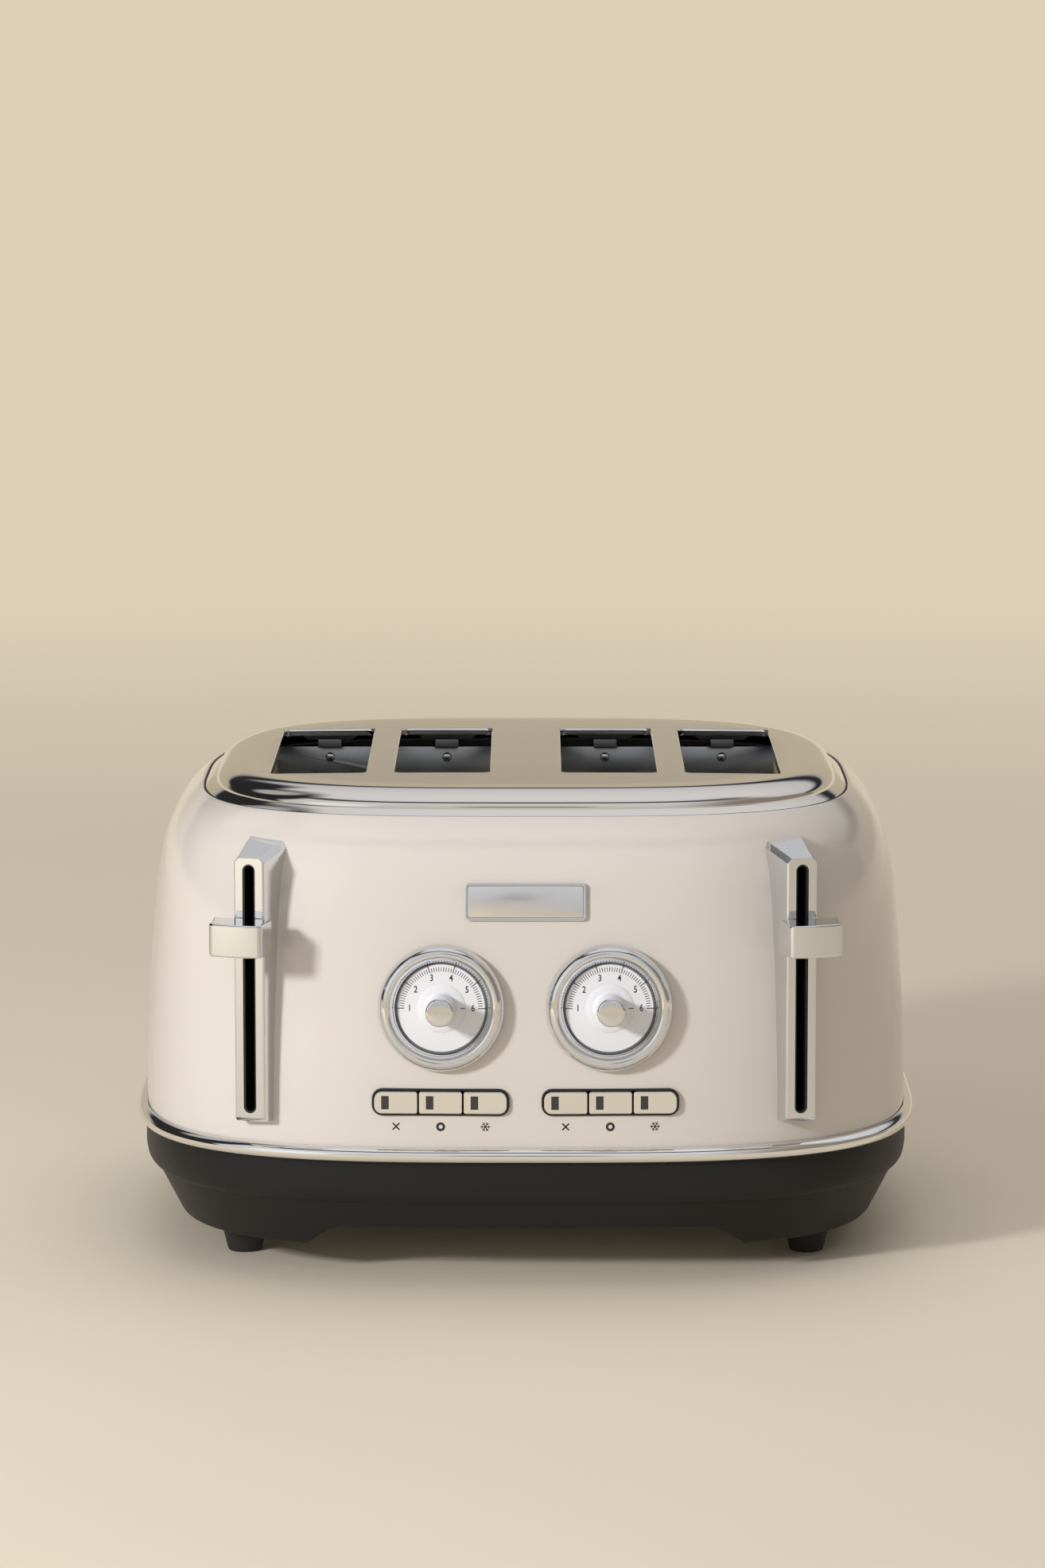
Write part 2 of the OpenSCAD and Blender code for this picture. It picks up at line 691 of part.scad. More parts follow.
// ---- Chamber sheets and heaters ----
// Front or rear end plate; sy is -1 at the front and 1 at the rear
module end_plate(side, sy) {
    guide_slot = guide_close + 2 * guide_open + 2;
    color("lightgray") handed(side) facing(sy) difference() {
        union() {
            translate([0, plate_y + sheet, 0]) rotate([90, 0, 0]) linear_extrude(sheet)
                polygon([[chamber_in, floor_z], [chamber_in + 8, floor_z],
                    [chamber_in + 8, 40], [chamber_out - 10, 40],
                    [chamber_out - 10, floor_z], [chamber_out, floor_z],
                    [chamber_out, chamber_top], [chamber_in, chamber_top]]);
            // bracket for the carriage rod and spring
            if (sy < 0) box([spring_x - 8, rod_x + 8], [plate_y + sheet / 2, -rod_y + 7],
                [bracket_z, bracket_z + 1.5]);
        }
        for (x = slot_xs) {
            if (sy < 0) box([x - lifter_t / 2 - 1, x + lifter_t / 2 + 1], [0, plate_y + 2],
                [lifter_z - lifter_h - lever_down - 2, lifter_z + lever_up]);
            for (w = [-1, 1], z = [guide_low, guide_high])
                box([x + w * (slot_w / 2 - guide_open - guide_close / 2) - guide_slot / 2 - 1,
                     x + w * (slot_w / 2 - guide_open - guide_close / 2) + guide_slot / 2 + 1],
                    [0, plate_y + 2], [z - guide_wire / 2 - 0.4, z + guide_wire / 2 + 0.4]);
        }
        translate([rod_x, -rod_y, 0]) cylinder(h = 250, r = rod_r + 0.05);
    }
}
module heat_shields() {
    color("lightgray") both_sides()
        for (x = [chamber_in, chamber_out - sheet])
            box([x, x + sheet], [-plate_y, plate_y], [45, chamber_top]);
}
module heater_cards() {
    color("khaki") both_sides() for (x = card_xs)
        box([x - card_t / 2, x + card_t / 2], [-plate_y, plate_y], [50, chamber_top - 6]);
}

// ---- Crumb trays ----
module crumb_tray(side) {
    color("silver") handed(side) difference() {
        intersection() {
            box([tray_in, tray_out], [tray_y, body_d], [tray_floor, tray_floor + tray_h]);
            outline_plate(tray_face, tray_floor, tray_floor + tray_h);
        }
        intersection() {
            box([tray_in + tray_wall, tray_out - tray_wall], [tray_y + tray_wall, body_d],
                [tray_floor + tray_wall, tray_floor + tray_h + 1]);
            outline_plate(tray_face + 2, tray_floor, tray_floor + tray_h + 2);
        }
    }
}
module crumb_tray_handle(side) {
    low = floor_z + 1;
    high = tray_floor + tray_h + 3;
    grip = [tray_in + 18, tray_out - 18];
    color("dimgray") handed(side) {
        intersection() {
            box([tray_in - 3, tray_out + 3], [0, body_d], [low, high]);
            difference() {
                outline_plate(tray_face - 3.2, low, high);
                outline_plate(tray_face, low - 1, high + 1);
            }
        }
        box(grip, [body_d / 2 - tray_face + 0.5, reach_y], [floor_z + 5.5, floor_z + 9]);
    }
}

// ---- Dials ----
module dial_bezel(side) {
    crest = bezel_in_r + bezel_band * 0.52;
    color("silver") handed(side) {
        on_front(dial_x, dial_z) rotate_extrude()
            polygon([[dial_face_r - 1, face_back - 1.2], [dial_hole_r, face_back - 1.2],
                [dial_hole_r, 1.2], [bezel_in_r, 1.2], [bezel_in_r, face_back],
                [dial_face_r - 1, face_back]]);
        seated() on_front(dial_x, dial_z) rotate_extrude()
            polygon(concat([[dial_hole_r, -2.5], [bezel_r, -2.5], [bezel_r, 1.2], [bezel_r - 1, 2]],
                [for (i = [0 : 8]) let (th = 20 + 140 * i / 8)
                    [crest + bezel_band * 0.36 * cos(th), bezel_h - 2.4 + 2.4 * sin(th)]],
                [[bezel_in_r, bezel_h - 3], [bezel_in_r, 1.1], [dial_hole_r, 1.1]]));
    }
}
module dial_face(side) {
    color("white") handed(side) on_front(dial_x, dial_z) difference() {
        union() {
            translate([0, 0, face_back]) cylinder(h = 2, r = bezel_in_r - 0.05);
            translate([0, 0, face_back]) cylinder(h = face_top - face_back, r = dial_face_r);
        }
        cylinder(h = 20, r = shaft_r + 0.3, center = true);
    }
}
module dial_pointer(side) {
    color("white") handed(side) on_front(dial_x, dial_z) difference() {
        rotate_extrude() polygon([[0, face_top + fit], [skirt_r, face_top + fit],
            [skirt_r, face_top + fit + 0.4], [stem_r + 1.2, face_top + fit + 0.8],
            [stem_r, 4], [stem_r, dial_knob_out - 2], [0, dial_knob_out - 2]]);
        translate([0, 0, -1]) cylinder(h = dial_knob_out - 3, r = shaft_r + 0.05);
    }
}
module dial_cap(side) {
    color("silver") handed(side) on_front(dial_x, dial_z) rotate_extrude()
        polygon(concat([[stem_r, dial_knob_out - 7]],
            [[dial_cap_r, dial_knob_out - 7], [dial_cap_r, dial_knob_out - 2.5]],
            [for (th = [0 : 30 : 90]) [dial_cap_r - 2.5 + 2.5 * cos(th),
                dial_knob_out - 2.5 + 2.5 * sin(th)]],
            [[0, dial_knob_out], [0, dial_knob_out - 2], [stem_r, dial_knob_out - 2]]));
}
module dial_shaft(side) {
    color("silver") handed(side) on_front(dial_x, dial_z)
        translate([0, 0, pot_back + 2]) cylinder(h = dial_knob_out - 4 - pot_back - 2, r = shaft_r);
}
module potentiometer(side) {
    color("darkslategray") handed(side) difference() {
        box([dial_x - 6, dial_x + 6], [board_y - 5.5, board_y], [dial_z - 8, dial_z + 6]);
        on_front(dial_x, dial_z) translate([0, 0, pot_back + 0.5]) cylinder(h = 40, r = shaft_r + 2);
    }
    color("darkslategray") handed(side) on_front(dial_x, dial_z) difference() {
        union() {
            translate([0, 0, pot_back]) cylinder(h = pot_front - pot_back, r = pot_r);
            translate([0, 0, pot_front]) cylinder(h = face_back - pot_front, r = shaft_r + 1.6);
        }
        translate([0, 0, pot_back + 1.9]) cylinder(h = 40, r = shaft_r + running);
    }
}

// ---- Buttons and boards ----
module button_frame(side) {
    color("black") handed(side) difference() {
        union() {
            seated() on_front(button_x, button_z) translate([0, 0, -2]) linear_extrude(2.8)
                round_rect(row_w + 2 * frame_rim, button_h + 2 * frame_rim, 3);
            on_front(button_x, button_z) translate([0, 0, -3]) linear_extrude(3.2)
                round_rect(row_w + 2 * frame_rim - 0.5, button_h + 2 * frame_rim - 0.5, 2.5);
        }
        on_front(button_x, button_z) translate([0, 0, -5]) linear_extrude(10)
            round_rect(row_w + 2 * fit, button_h + 2 * fit, 1.5);
    }
}
// Buttons are numbered from the left of the row as seen from the front, on both sides
module push_button(side, index) {
    x = (index - 1) * button_pitch * (side == "left" ? -1 : 1);
    window_x = (side == "left" ? 1 : -1) * (button_w / 2 - 4.4);
    color("silver") handed(side) on_front(button_x, button_z) translate([x, 0, 0]) difference() {
        union() {
            translate([0, 0, -5]) linear_extrude(5 + button_out)
                round_rect(button_w, button_h, 1.2);
            translate([0, 0, -5]) linear_extrude(1.2)
                square([button_w - 2, button_h + 2.4], center = true);
            translate([0, 0, -stem_l]) cylinder(h = stem_l - 4, r = 1.6);
        }
        translate([window_x - 1.6, -2.7, button_out - 0.4]) cube([3.2, 5.4, 1]);
    }
}
module control_board(side) {
    color("darkgreen") handed(side) {
        box(board_x, [board_y, board_y + board_t], board_z);
        // press switches behind the buttons
        for (k = [-1 : 1]) box([button_x + k * button_pitch - 3, button_x + k * button_pitch + 3],
            [switch_y, board_y + 0.1], [button_z - 3, button_z + 3]);
        // relay and capacitor
        box([12, 28], [board_y + board_t - 0.1, board_y + board_t + 14], [98, 118]);
        translate([46, board_y + board_t - 0.1, 108]) rotate([-90, 0, 0]) cylinder(h = 16, r = 6);
    }
}

// ---- Assembly ----
body_shell();
top_cap();
cap_gasket();
trim_band();
base();
bottom_plate();
plate_screws();
feet();
badge_plate();
cord_gland();
lever_housing("left");  // lever_housing_left
lever_housing("right");  // lever_housing_right
lever_knob("left");  // lever_knob_left
lever_knob("right");  // lever_knob_right
carriage("left");  // carriage_left
carriage("right");  // carriage_right
carriage_rod("left");  // carriage_rod_left
carriage_rod("right");  // carriage_rod_right
carriage_spring("left");  // carriage_spring_left
carriage_spring("right");  // carriage_spring_right
electromagnet("left");  // electromagnet_left
electromagnet("right");  // electromagnet_right
bread_lifters("left");  // bread_lifters_left
bread_lifters("right");  // bread_lifters_right
bread_guides("left", -1);  // bread_guides_left_a
bread_guides("left", 1);  // bread_guides_left_b
bread_guides("right", -1);  // bread_guides_right_a
bread_guides("right", 1);  // bread_guides_right_b
end_plate("left", -1);  // end_plate_front_left
end_plate("right", -1);  // end_plate_front_right
end_plate("left", 1);  // end_plate_rear_left
end_plate("right", 1);  // end_plate_rear_right
heat_shields();
heater_cards();
crumb_tray("left");  // crumb_tray_left
crumb_tray("right");  // crumb_tray_right
crumb_tray_handle("left");  // crumb_tray_handle_left
crumb_tray_handle("right");  // crumb_tray_handle_right
dial_bezel("left");  // dial_bezel_left
dial_bezel("right");  // dial_bezel_right
dial_face("left");  // dial_face_left
dial_face("right");  // dial_face_right
dial_pointer("left");  // dial_pointer_left
dial_pointer("right");  // dial_pointer_right
dial_cap("left");  // dial_cap_left
dial_cap("right");  // dial_cap_right
dial_shaft("left");  // dial_shaft_left
dial_shaft("right");  // dial_shaft_right
potentiometer("left");  // potentiometer_left
potentiometer("right");  // potentiometer_right
button_frame("left");  // button_frame_left
button_frame("right");  // button_frame_right
push_button("left", 0);  // cancel_button_left
push_button("left", 1);  // bagel_button_left
push_button("left", 2);  // defrost_button_left
push_button("right", 0);  // cancel_button_right
push_button("right", 1);  // bagel_button_right
push_button("right", 2);  // defrost_button_right
control_board("left");  // control_board_left
control_board("right");  // control_board_right
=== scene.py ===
import math
import bpy
import bmesh
from mathutils import Matrix, Vector


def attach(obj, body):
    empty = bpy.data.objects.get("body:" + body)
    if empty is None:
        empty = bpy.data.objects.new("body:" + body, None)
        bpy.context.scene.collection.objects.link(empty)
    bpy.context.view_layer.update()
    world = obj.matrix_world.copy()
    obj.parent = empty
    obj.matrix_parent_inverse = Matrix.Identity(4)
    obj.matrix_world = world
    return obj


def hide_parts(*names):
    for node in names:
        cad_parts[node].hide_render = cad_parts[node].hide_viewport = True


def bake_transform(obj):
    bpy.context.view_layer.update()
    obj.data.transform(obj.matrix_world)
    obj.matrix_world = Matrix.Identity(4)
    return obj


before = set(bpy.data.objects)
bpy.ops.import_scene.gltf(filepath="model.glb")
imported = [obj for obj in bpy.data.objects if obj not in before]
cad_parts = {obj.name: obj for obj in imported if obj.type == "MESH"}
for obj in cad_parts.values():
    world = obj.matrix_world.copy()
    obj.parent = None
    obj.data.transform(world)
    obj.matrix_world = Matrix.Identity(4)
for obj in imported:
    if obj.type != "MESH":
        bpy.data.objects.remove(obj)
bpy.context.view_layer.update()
mm = 0.001

# ---- Table, light and camera ----
# A plain pale tabletop that runs out into a pale backdrop, in a studio that is bright in front and
# above and has a dark corner at the back left that gives the chrome its contrast. One small lamp on
# the left casts the shadows. The camera looks a little down.
table_colour = (0.80, 0.715, 0.575)
backdrop_colour = (0.73, 0.63, 0.47)
fade_from, fade_to = 0.45, 2.6
lamp_aim = (0, 0, 0.1)


def wired(tree, made, **inputs):
    """Sets a node's inputs to values or to other nodes' outputs. An input goes by its name, or by
    its number after a low line."""
    for label, value in inputs.items():
        socket = made.inputs[int(label[1:]) if label[1:].isdigit() else label.replace("_", " ")]
        if isinstance(value, bpy.types.NodeSocket):
            tree.links.new(value, socket)
        else:
            socket.default_value = value
    return made


def node(tree, kind, **inputs):
    """A new shader node with its inputs wired."""
    return wired(tree, tree.nodes.new("ShaderNode" + kind), **inputs)


def reckoned(tree, operation, first, second):
    """Two values put together by a sum."""
    made = node(tree, "Math", _0=first, _1=second)
    made.operation = operation
    return made.outputs["Value"]


def band(tree, value, low, high):
    """Goes smoothly from 0 to 1 as the value goes from low to high."""
    made = node(tree, "MapRange", Value=value, From_Min=low, From_Max=high)
    made.interpolation_type = "SMOOTHSTEP"
    return made.outputs["Result"]


def mixed(tree, amount, first, second):
    """Mixes two colours, each a plain colour or another node's output."""
    made = tree.nodes.new("ShaderNodeMix")
    made.data_type = "RGBA"
    return wired(tree, made, Factor=amount, A=first, B=second).outputs["Result"]


def area_lamp(name, place, size, power, colour):
    """A soft lamp that bright metal doesn't mirror."""
    bpy.ops.object.light_add(type="AREA", location=place)
    lamp = bpy.context.object
    lamp.name = name
    lamp.data.shape = "RECTANGLE"
    lamp.data.size, lamp.data.size_y = size
    lamp.data.energy, lamp.data.color = power, colour
    lamp.rotation_euler = (Vector(lamp_aim) - Vector(place)).to_track_quat("-Z", "Y").to_euler()
    lamp.visible_glossy = False


bpy.ops.object.select_all(action="DESELECT")
bpy.ops.mesh.primitive_plane_add(size=400)
table = bpy.context.object
table.name = "tabletop"
table_finish = bpy.data.materials.new("tabletop_paint")
table_finish.use_nodes = True
paint = table_finish.node_tree
where = node(paint, "TexCoord").outputs["Object"]
noise = node(paint, "TexNoise", Vector=where, Scale=3.0).outputs["Fac"]
ramp = node(paint, "ValToRGB", Fac=noise)
for mark, share in zip(ramp.color_ramp.elements, (0.97, 1.03)):
    mark.color = (*[share * c for c in table_colour], 1)
bump = node(paint, "Bump", Height=noise, Distance=0.0002)
shader = wired(paint, paint.nodes["Principled BSDF"], Base_Color=ramp.outputs["Color"],
               Normal=bump.outputs["Normal"], Roughness=0.6)
far = node(paint, "VectorMath", _0=where)
far.operation = "LENGTH"
seen = node(paint, "LightPath").outputs
sharp = reckoned(paint, "MAXIMUM", seen["Is Camera Ray"], seen["Is Glossy Ray"])
through = reckoned(paint, "MAXIMUM", sharp, seen["Is Transmission Ray"])
far_seen = reckoned(paint, "MULTIPLY", through, band(paint, far.outputs["Value"], fade_from, fade_to))
glow = node(paint, "Emission", Color=(*backdrop_colour, 1))
choose = node(paint, "MixShader", _0=far_seen, _1=shader.outputs["BSDF"], _2=glow.outputs["Emission"])
wired(paint, paint.nodes["Material Output"], Surface=choose.outputs["Shader"])
table.data.materials.append(table_finish)

area_lamp("key_lamp", (-1.45, -1.55, 0.85), (0.26, 0.26), 35, (0.99, 0.99, 1.0))
area_lamp("overhead_softbox", (0.1, 0.1, 2.2), (2.4, 2.0), 7, (1.0, 0.90, 0.75))

world = bpy.context.scene.world or bpy.data.worlds.new("studio")
bpy.context.scene.world = world
world.use_nodes = True
studio = world.node_tree
studio.nodes.clear()
direction = node(studio, "TexCoord").outputs["Generated"]
across, away, upward = node(studio, "SeparateXYZ", _0=direction).outputs


def greys(value, *stops):
    """A grey that follows a value from 0 to 1 through (stop, grey) pairs."""
    made = node(studio, "ValToRGB", Fac=value)
    marks = made.color_ramp.elements
    for stop, grey in stops:
        ends = {0.0: 0, 1.0: len(marks) - 1}
        mark = marks[ends[stop]] if stop in ends else marks.new(stop)
        mark.color = (grey, 0.99 * grey, grey, 1)
    return made.outputs["Color"]


def hung(behind, cards):
    """Hangs round cards in the room, each given by its azimuth (0 is the back), its elevation, the
    cosines where it starts and where it is full, and its colour."""
    for azimuth, elevation, outer, inner, colour in cards:
        turn, rise_by = math.radians(azimuth), math.radians(elevation)
        aim = (math.sin(turn) * math.cos(rise_by), math.cos(turn) * math.cos(rise_by), math.sin(rise_by))
        near = node(studio, "VectorMath", _0=direction, _1=aim)
        near.operation = "DOT_PRODUCT"
        behind = mixed(studio, band(studio, near.outputs["Value"], outer, inner), behind, (*colour, 1))
    return behind


front = greys(upward, (0.0, 0.52), (0.11, 0.62), (0.5, 0.70), (0.79, 0.72), (0.83, 0.05),
              (0.89, 0.05), (0.93, 0.72), (1.0, 0.80))
back = greys(upward, (0.0, 0.40), (0.26, 0.35), (0.29, 0.03), (0.35, 0.03), (0.43, 0.60),
             (0.7, 0.72), (1.0, 0.80))
back = mixed(studio, band(studio, upward, 0.22, 0.27), (*[0.72 * c for c in backdrop_colour], 1), back)
back = mixed(studio, band(studio, across, 0.78, 0.84), back, (0.27, 0.235, 0.185, 1))
front = mixed(studio, band(studio, across, 0.25, 0.75), front, (0.27, 0.235, 0.195, 1))
front = hung(front, [(-140, 16, 0.93, 0.98, (0.95, 0.95, 0.96)),
                     (180, 13, 0.9965, 0.9985, (0.03, 0.03, 0.03))])
room = mixed(studio, band(studio, away, -0.15, 0.25), front, back)
dark_card = (0.025, 0.025, 0.027)
room = hung(room, [(-64, 32, 0.79, 0.88, dark_card), (-25, 29, 0.965, 0.985, dark_card),
                   (-80, 3, 0.87, 0.94, dark_card), (-50, 47, 0.965, 0.995, (0.50, 0.49, 0.48))])
room = mixed(studio, band(studio, upward, 0.0, 0.06), (*backdrop_colour, 1), room)
lit = node(studio, "Background", Color=room, Strength=1.0)
node(studio, "OutputWorld", Surface=lit.outputs[0])

bpy.ops.object.camera_add(location=(0.00177, -2.3738, 0.5153),
                          rotation=(math.radians(90 - 8.033), 0, math.radians(0.076)))
camera = bpy.context.object
camera.data.lens, camera.data.sensor_width, camera.data.clip_start = 131.8, 36, 0.05
bpy.context.scene.camera = camera
bpy.context.scene.view_settings.view_transform = "Standard"

# ---- Body shell ----
# Deep-drawn steel sheet in glossy cream stove enamel: a rounded square in plan that leans in
# and rolls over a tight shoulder to a rim, with a ledge inside it for the top. It is drawn up
# ring by ring from its foot, over the rim and back down inside, then cut for what fits it.


def in_mm(*sizes):
    """Sizes written in millimetres."""
    return [size * mm for size in sizes]


body_w, body_d, body_foot, body_top = in_mm(314, 298, 54, 185)
wall_lean, shoulder_in, body_wall, rim_t = in_mm(9.7, 13.4, 1.0, 0.8)
ledge_z, ledge_t, ledge_in = in_mm(182.8, 1.0, 6.0)
rim_in = wall_lean + shoulder_in
corner_power, outline_points = 3.3, 200


def lean(z):
    """How far the wall has come in at a height."""
    t = max(0.0, (z - body_foot) / (body_top - body_foot))
    return wall_lean * t ** 2 + shoulder_in * t ** 13


def front_y(x, z):
    across = abs(x) / (body_w / 2 - lean(z))
    return -(body_d / 2 - lean(z)) * (1 - across ** corner_power) ** (1 / corner_power)


def at(x, y, z):
    return Matrix.Translation((x, y, z))


def spun(degrees, axis="Z"):
    return Matrix.Rotation(math.radians(degrees), 4, axis)


def on_front(x, z):
    """The frame on the front wall at (x, z): X sideways, Y up the wall, Z straight out of it."""
    tilt = math.atan((front_y(x, z + mm) - front_y(x, z - mm)) / (2 * mm))
    yaw = math.atan((front_y(x + mm, z) - front_y(x - mm, z)) / (2 * mm))
    return (at(x, front_y(x, z), z) @ Matrix.Rotation(yaw, 4, "Z")
            @ Matrix.Rotation(math.pi / 2 - tilt, 4, "X"))


def on_outline(angle, inset):
    """The point of the body's outline, brought in by inset, that lies at an angle."""
    across, along = math.cos(angle), math.sin(angle)
    reach = (abs(across / (body_w / 2 - inset)) ** corner_power
             + abs(along / (body_d / 2 - inset)) ** corner_power) ** (-1 / corner_power)
    return reach * across, reach * along


def put_down():
    """Leaves edit mode and lets go of everything."""
    if bpy.context.mode != "OBJECT":
        bpy.ops.object.mode_set(mode="OBJECT")
    bpy.ops.object.select_all(action="DESELECT")


def pick_up(piece, mode="OBJECT"):
    """Makes a piece the active one, in edit mode if asked."""
    put_down()
    piece.select_set(True)
    bpy.context.view_layer.objects.active = piece
    if mode == "EDIT":
        bpy.ops.object.mode_set(mode="EDIT")
        bpy.ops.mesh.select_mode(type="VERT")


def named(name):
    """Names the piece in hand, and fixes its place in its mesh."""
    piece = bpy.context.object
    piece.name = piece.data.name = name
    bpy.ops.object.transform_apply(location=True, rotation=True, scale=True)
    return piece


def throw_away(*pieces):
    for piece in pieces:
        bpy.data.objects.remove(piece)


def choose_all():
    bpy.ops.mesh.select_all(action="SELECT")


def choose_parts(kind, wanted):
    """Selects the active mesh's verts, edges or faces for which wanted(part) holds."""
    bpy.ops.mesh.select_mode(type={"verts": "VERT", "edges": "EDGE", "faces": "FACE"}[kind])
    bpy.ops.mesh.select_all(action="DESELECT")
    mesh = bmesh.from_edit_mesh(bpy.context.edit_object.data)
    for part in getattr(mesh, kind):
        if wanted(part):
            part.select_set(True)
    mesh.select_flush_mode()
    bmesh.update_edit_mesh(bpy.context.edit_object.data)


def bevel_where(wanted, width, steps):
    """Rounds the active mesh's edges for which wanted(edge) holds."""
    choose_parts("edges", wanted)
    bpy.ops.mesh.bevel(offset=width, segments=steps, affect="EDGES")


def span(edge, axis):
    """How far an edge runs along X (0), Y (1) or Z (2)."""
    return abs(edge.verts[0].co[axis] - edge.verts[1].co[axis])


def settle():
    """Closes an edit: joins doubled points, turns the faces outward and leaves edit mode."""
    choose_all()
    bpy.ops.mesh.remove_doubles(threshold=1e-6)
    bpy.ops.mesh.normals_make_consistent(inside=False)
    bpy.ops.object.mode_set(mode="OBJECT")


def drawn_up(piece, rings, closed):
    """Extrudes a ring through (half width, half depth, height) levels. A hoop joins its last ring
    to its first; a lid is closed flat at both ends."""
    pick_up(piece, "EDIT")
    choose_all()
    for (w0, d0, z0), (w1, d1, z1) in zip(rings, rings[1:]):
        bpy.ops.mesh.extrude_region_move(TRANSFORM_OT_translate={"value": (0, 0, z1 - z0)})
        bpy.ops.transform.resize(value=(w1 / w0, d1 / d0, 1), center_override=(0, 0, z1))
    choose_parts("edges", lambda edge: edge.is_boundary)
    if closed == "hoop":
        bpy.ops.mesh.bridge_edge_loops()
    else:
        bpy.ops.mesh.fill_holes(sides=0)
    settle()
    return piece


def shell(name, levels, closed="hoop"):
    """A shell on the body's outline through (inset, height) levels."""
    put_down()
    bpy.ops.mesh.primitive_circle_add(vertices=outline_points, radius=1, location=(0, 0, 0))
    piece = named(name)
    for point in piece.data.vertices:
        point.co = (*on_outline(math.atan2(point.co.y, point.co.x), levels[0][0]), levels[0][1])
    return drawn_up(piece, [(body_w / 2 - i, body_d / 2 - i, z) for i, z in levels], closed)


def modified(piece, kind, **settings):
    """Works a modifier into a piece."""
    pick_up(piece)
    step = piece.modifiers.new("step", kind)
    for setting, value in settings.items():
        setattr(step, setting, value)
    bpy.ops.object.modifier_apply(modifier=step.name)
    return piece


def smooth(piece, degrees=35):
    pick_up(piece)
    bpy.ops.object.shade_smooth_by_angle(angle=math.radians(degrees))


def even_out(piece):
    """Lets the large faces set the shading, so that flat plated faces reflect as flats."""
    modified(piece, "WEIGHTED_NORMAL", keep_sharp=True)


def boolean(piece, tool, operation="DIFFERENCE"):
    """Cuts one piece with another and throws the cutter away."""
    modified(piece, "BOOLEAN", object=tool, operation=operation, solver="EXACT")
    throw_away(tool)


def placed(piece, place):
    """Moves a piece made at the origin to its place, turned the right way out if mirrored."""
    pick_up(piece)
    piece.matrix_world = place @ piece.matrix_world
    bpy.ops.object.transform_apply(location=True, rotation=True, scale=True)
    if place.determinant() < 0:
        pick_up(piece, "EDIT")
        settle()
    return piece


def block(name, low, high):
    """A rectangular block between two corners, to be shaped further."""
    put_down()
    bpy.ops.mesh.primitive_cube_add(size=1, location=[(a + b) / 2 for a, b in zip(low, high)])
    bpy.context.object.scale = [b - a for a, b in zip(low, high)]
    return named(name)


def finish(name, colour, roughness, metallic=0.0, mottle=(0.03, 30), grain=(0.0, 1),
           streak=(1, 1, 1), swing=0.05, coat=0.0):
    """A surface finish: a slow mottle in colour and gloss, given as its strength and its size, and
    a fine grain, given as its depth and its size, that a streak draws out for brushing."""
    made = bpy.data.materials.new(name)
    made.use_nodes = True
    tree = made.node_tree
    where = node(tree, "TexCoord").outputs["Object"]
    slow = node(tree, "TexNoise", Vector=where, Scale=1 / (mottle[1] * mm), Detail=3).outputs["Fac"]
    tint = mixed(tree, slow, (*[c * (1 - mottle[0]) for c in colour], 1),
                 (*[min(1, c * (1 + mottle[0])) for c in colour], 1))
    drawn = node(tree, "Mapping", Vector=where, Scale=streak).outputs["Vector"]
    fine = node(tree, "TexNoise", Vector=drawn, Scale=1 / (grain[1] * mm), Detail=4).outputs["Fac"]
    gloss = node(tree, "MapRange", Value=fine if streak != (1, 1, 1) else slow,
                 To_Min=max(0.02, roughness - swing), To_Max=roughness + swing)
    relief = node(tree, "Bump", Height=fine, Distance=grain[0] * mm, Strength=1.0 if grain[0] else 0.0)
    wired(tree, tree.nodes["Principled BSDF"], Base_Color=tint, Roughness=gloss.outputs["Result"],
          Normal=relief.outputs["Normal"], Metallic=metallic, Coat_Weight=coat, Coat_Roughness=0.04)
    return made


def assigned(piece, body, slot, *nodes):
    """Gives a piece its body and hides the CAD nodes it stands for. The slot is not used."""
    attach(piece, body)
    if nodes:
        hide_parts(*nodes)
    return piece


def dress(piece, material, *given):
    """Gives a piece its finish, and what it is assigned to if it is in its place."""
    piece.data.materials.clear()
    piece.data.materials.append(material)
    return assigned(piece, *given) if given else piece


cream_enamel = finish("cream_enamel", (0.615, 0.572, 0.532), 0.16, mottle=(0.012, 60),
                      grain=(0.004, 3), swing=0.03, coat=0.6)
wall_steps = 44
wall_levels = [body_foot + (body_top - 0.3 * mm - body_foot) * (1 - (1 - k / wall_steps) ** 1.45)
               for k in range(wall_steps + 1)]
rim = [(rim_in + 0.08 * mm, body_top - 0.08 * mm), (rim_in + 0.3 * mm, body_top),
       (rim_in + 0.6 * mm, body_top - 0.03 * mm), (rim_in + rim_t, body_top - 0.2 * mm)]
ledge = [(rim_in + rim_t, ledge_z + ledge_t), (rim_in + ledge_in, ledge_z + ledge_t),
         (rim_in + ledge_in, ledge_z)]
inside = [(lean(z) + body_wall, z) for z in
          [ledge_z - (ledge_z - body_foot) * (k / 14) ** 1.4 for k in range(15)]]
body_shell = shell("body_shell", [(lean(z), z) for z in wall_levels] + rim + ledge + inside)
body_form = shell("body_form", [(lean(z), z) for z in wall_levels], closed="lid")

lever_inset, lever_yaw, housing_out = 48 * mm, math.radians(16), 9.5 * mm
housing_low, housing_l, track_w, track_end = in_mm(67, 104, 5.2, 1.9)
housing_high = housing_low + housing_l
lever_x = body_w / 2 - lever_inset
lever_face_y = front_y(lever_x, housing_low) - housing_out
at_lever = at(lever_x, lever_face_y, 0) @ Matrix.Rotation(lever_yaw, 4, "Z")
dial_x, dial_z, dial_face_r, bezel_band = in_mm(33.1, 112, 17.2, 6.5)
bezel_in_r, bezel_r = dial_face_r + 1.2 * mm, dial_face_r + 1.5 * mm + bezel_band
dial_hole_r = bezel_in_r + 1.6 * mm
button_x, button_z, button_w, button_h = in_mm(33.5, 74.5, 17.1, 8.8)
button_pitch = button_w + 0.55 * mm
row_w, button_clear = 2 * button_pitch + button_w, 0.85 * mm
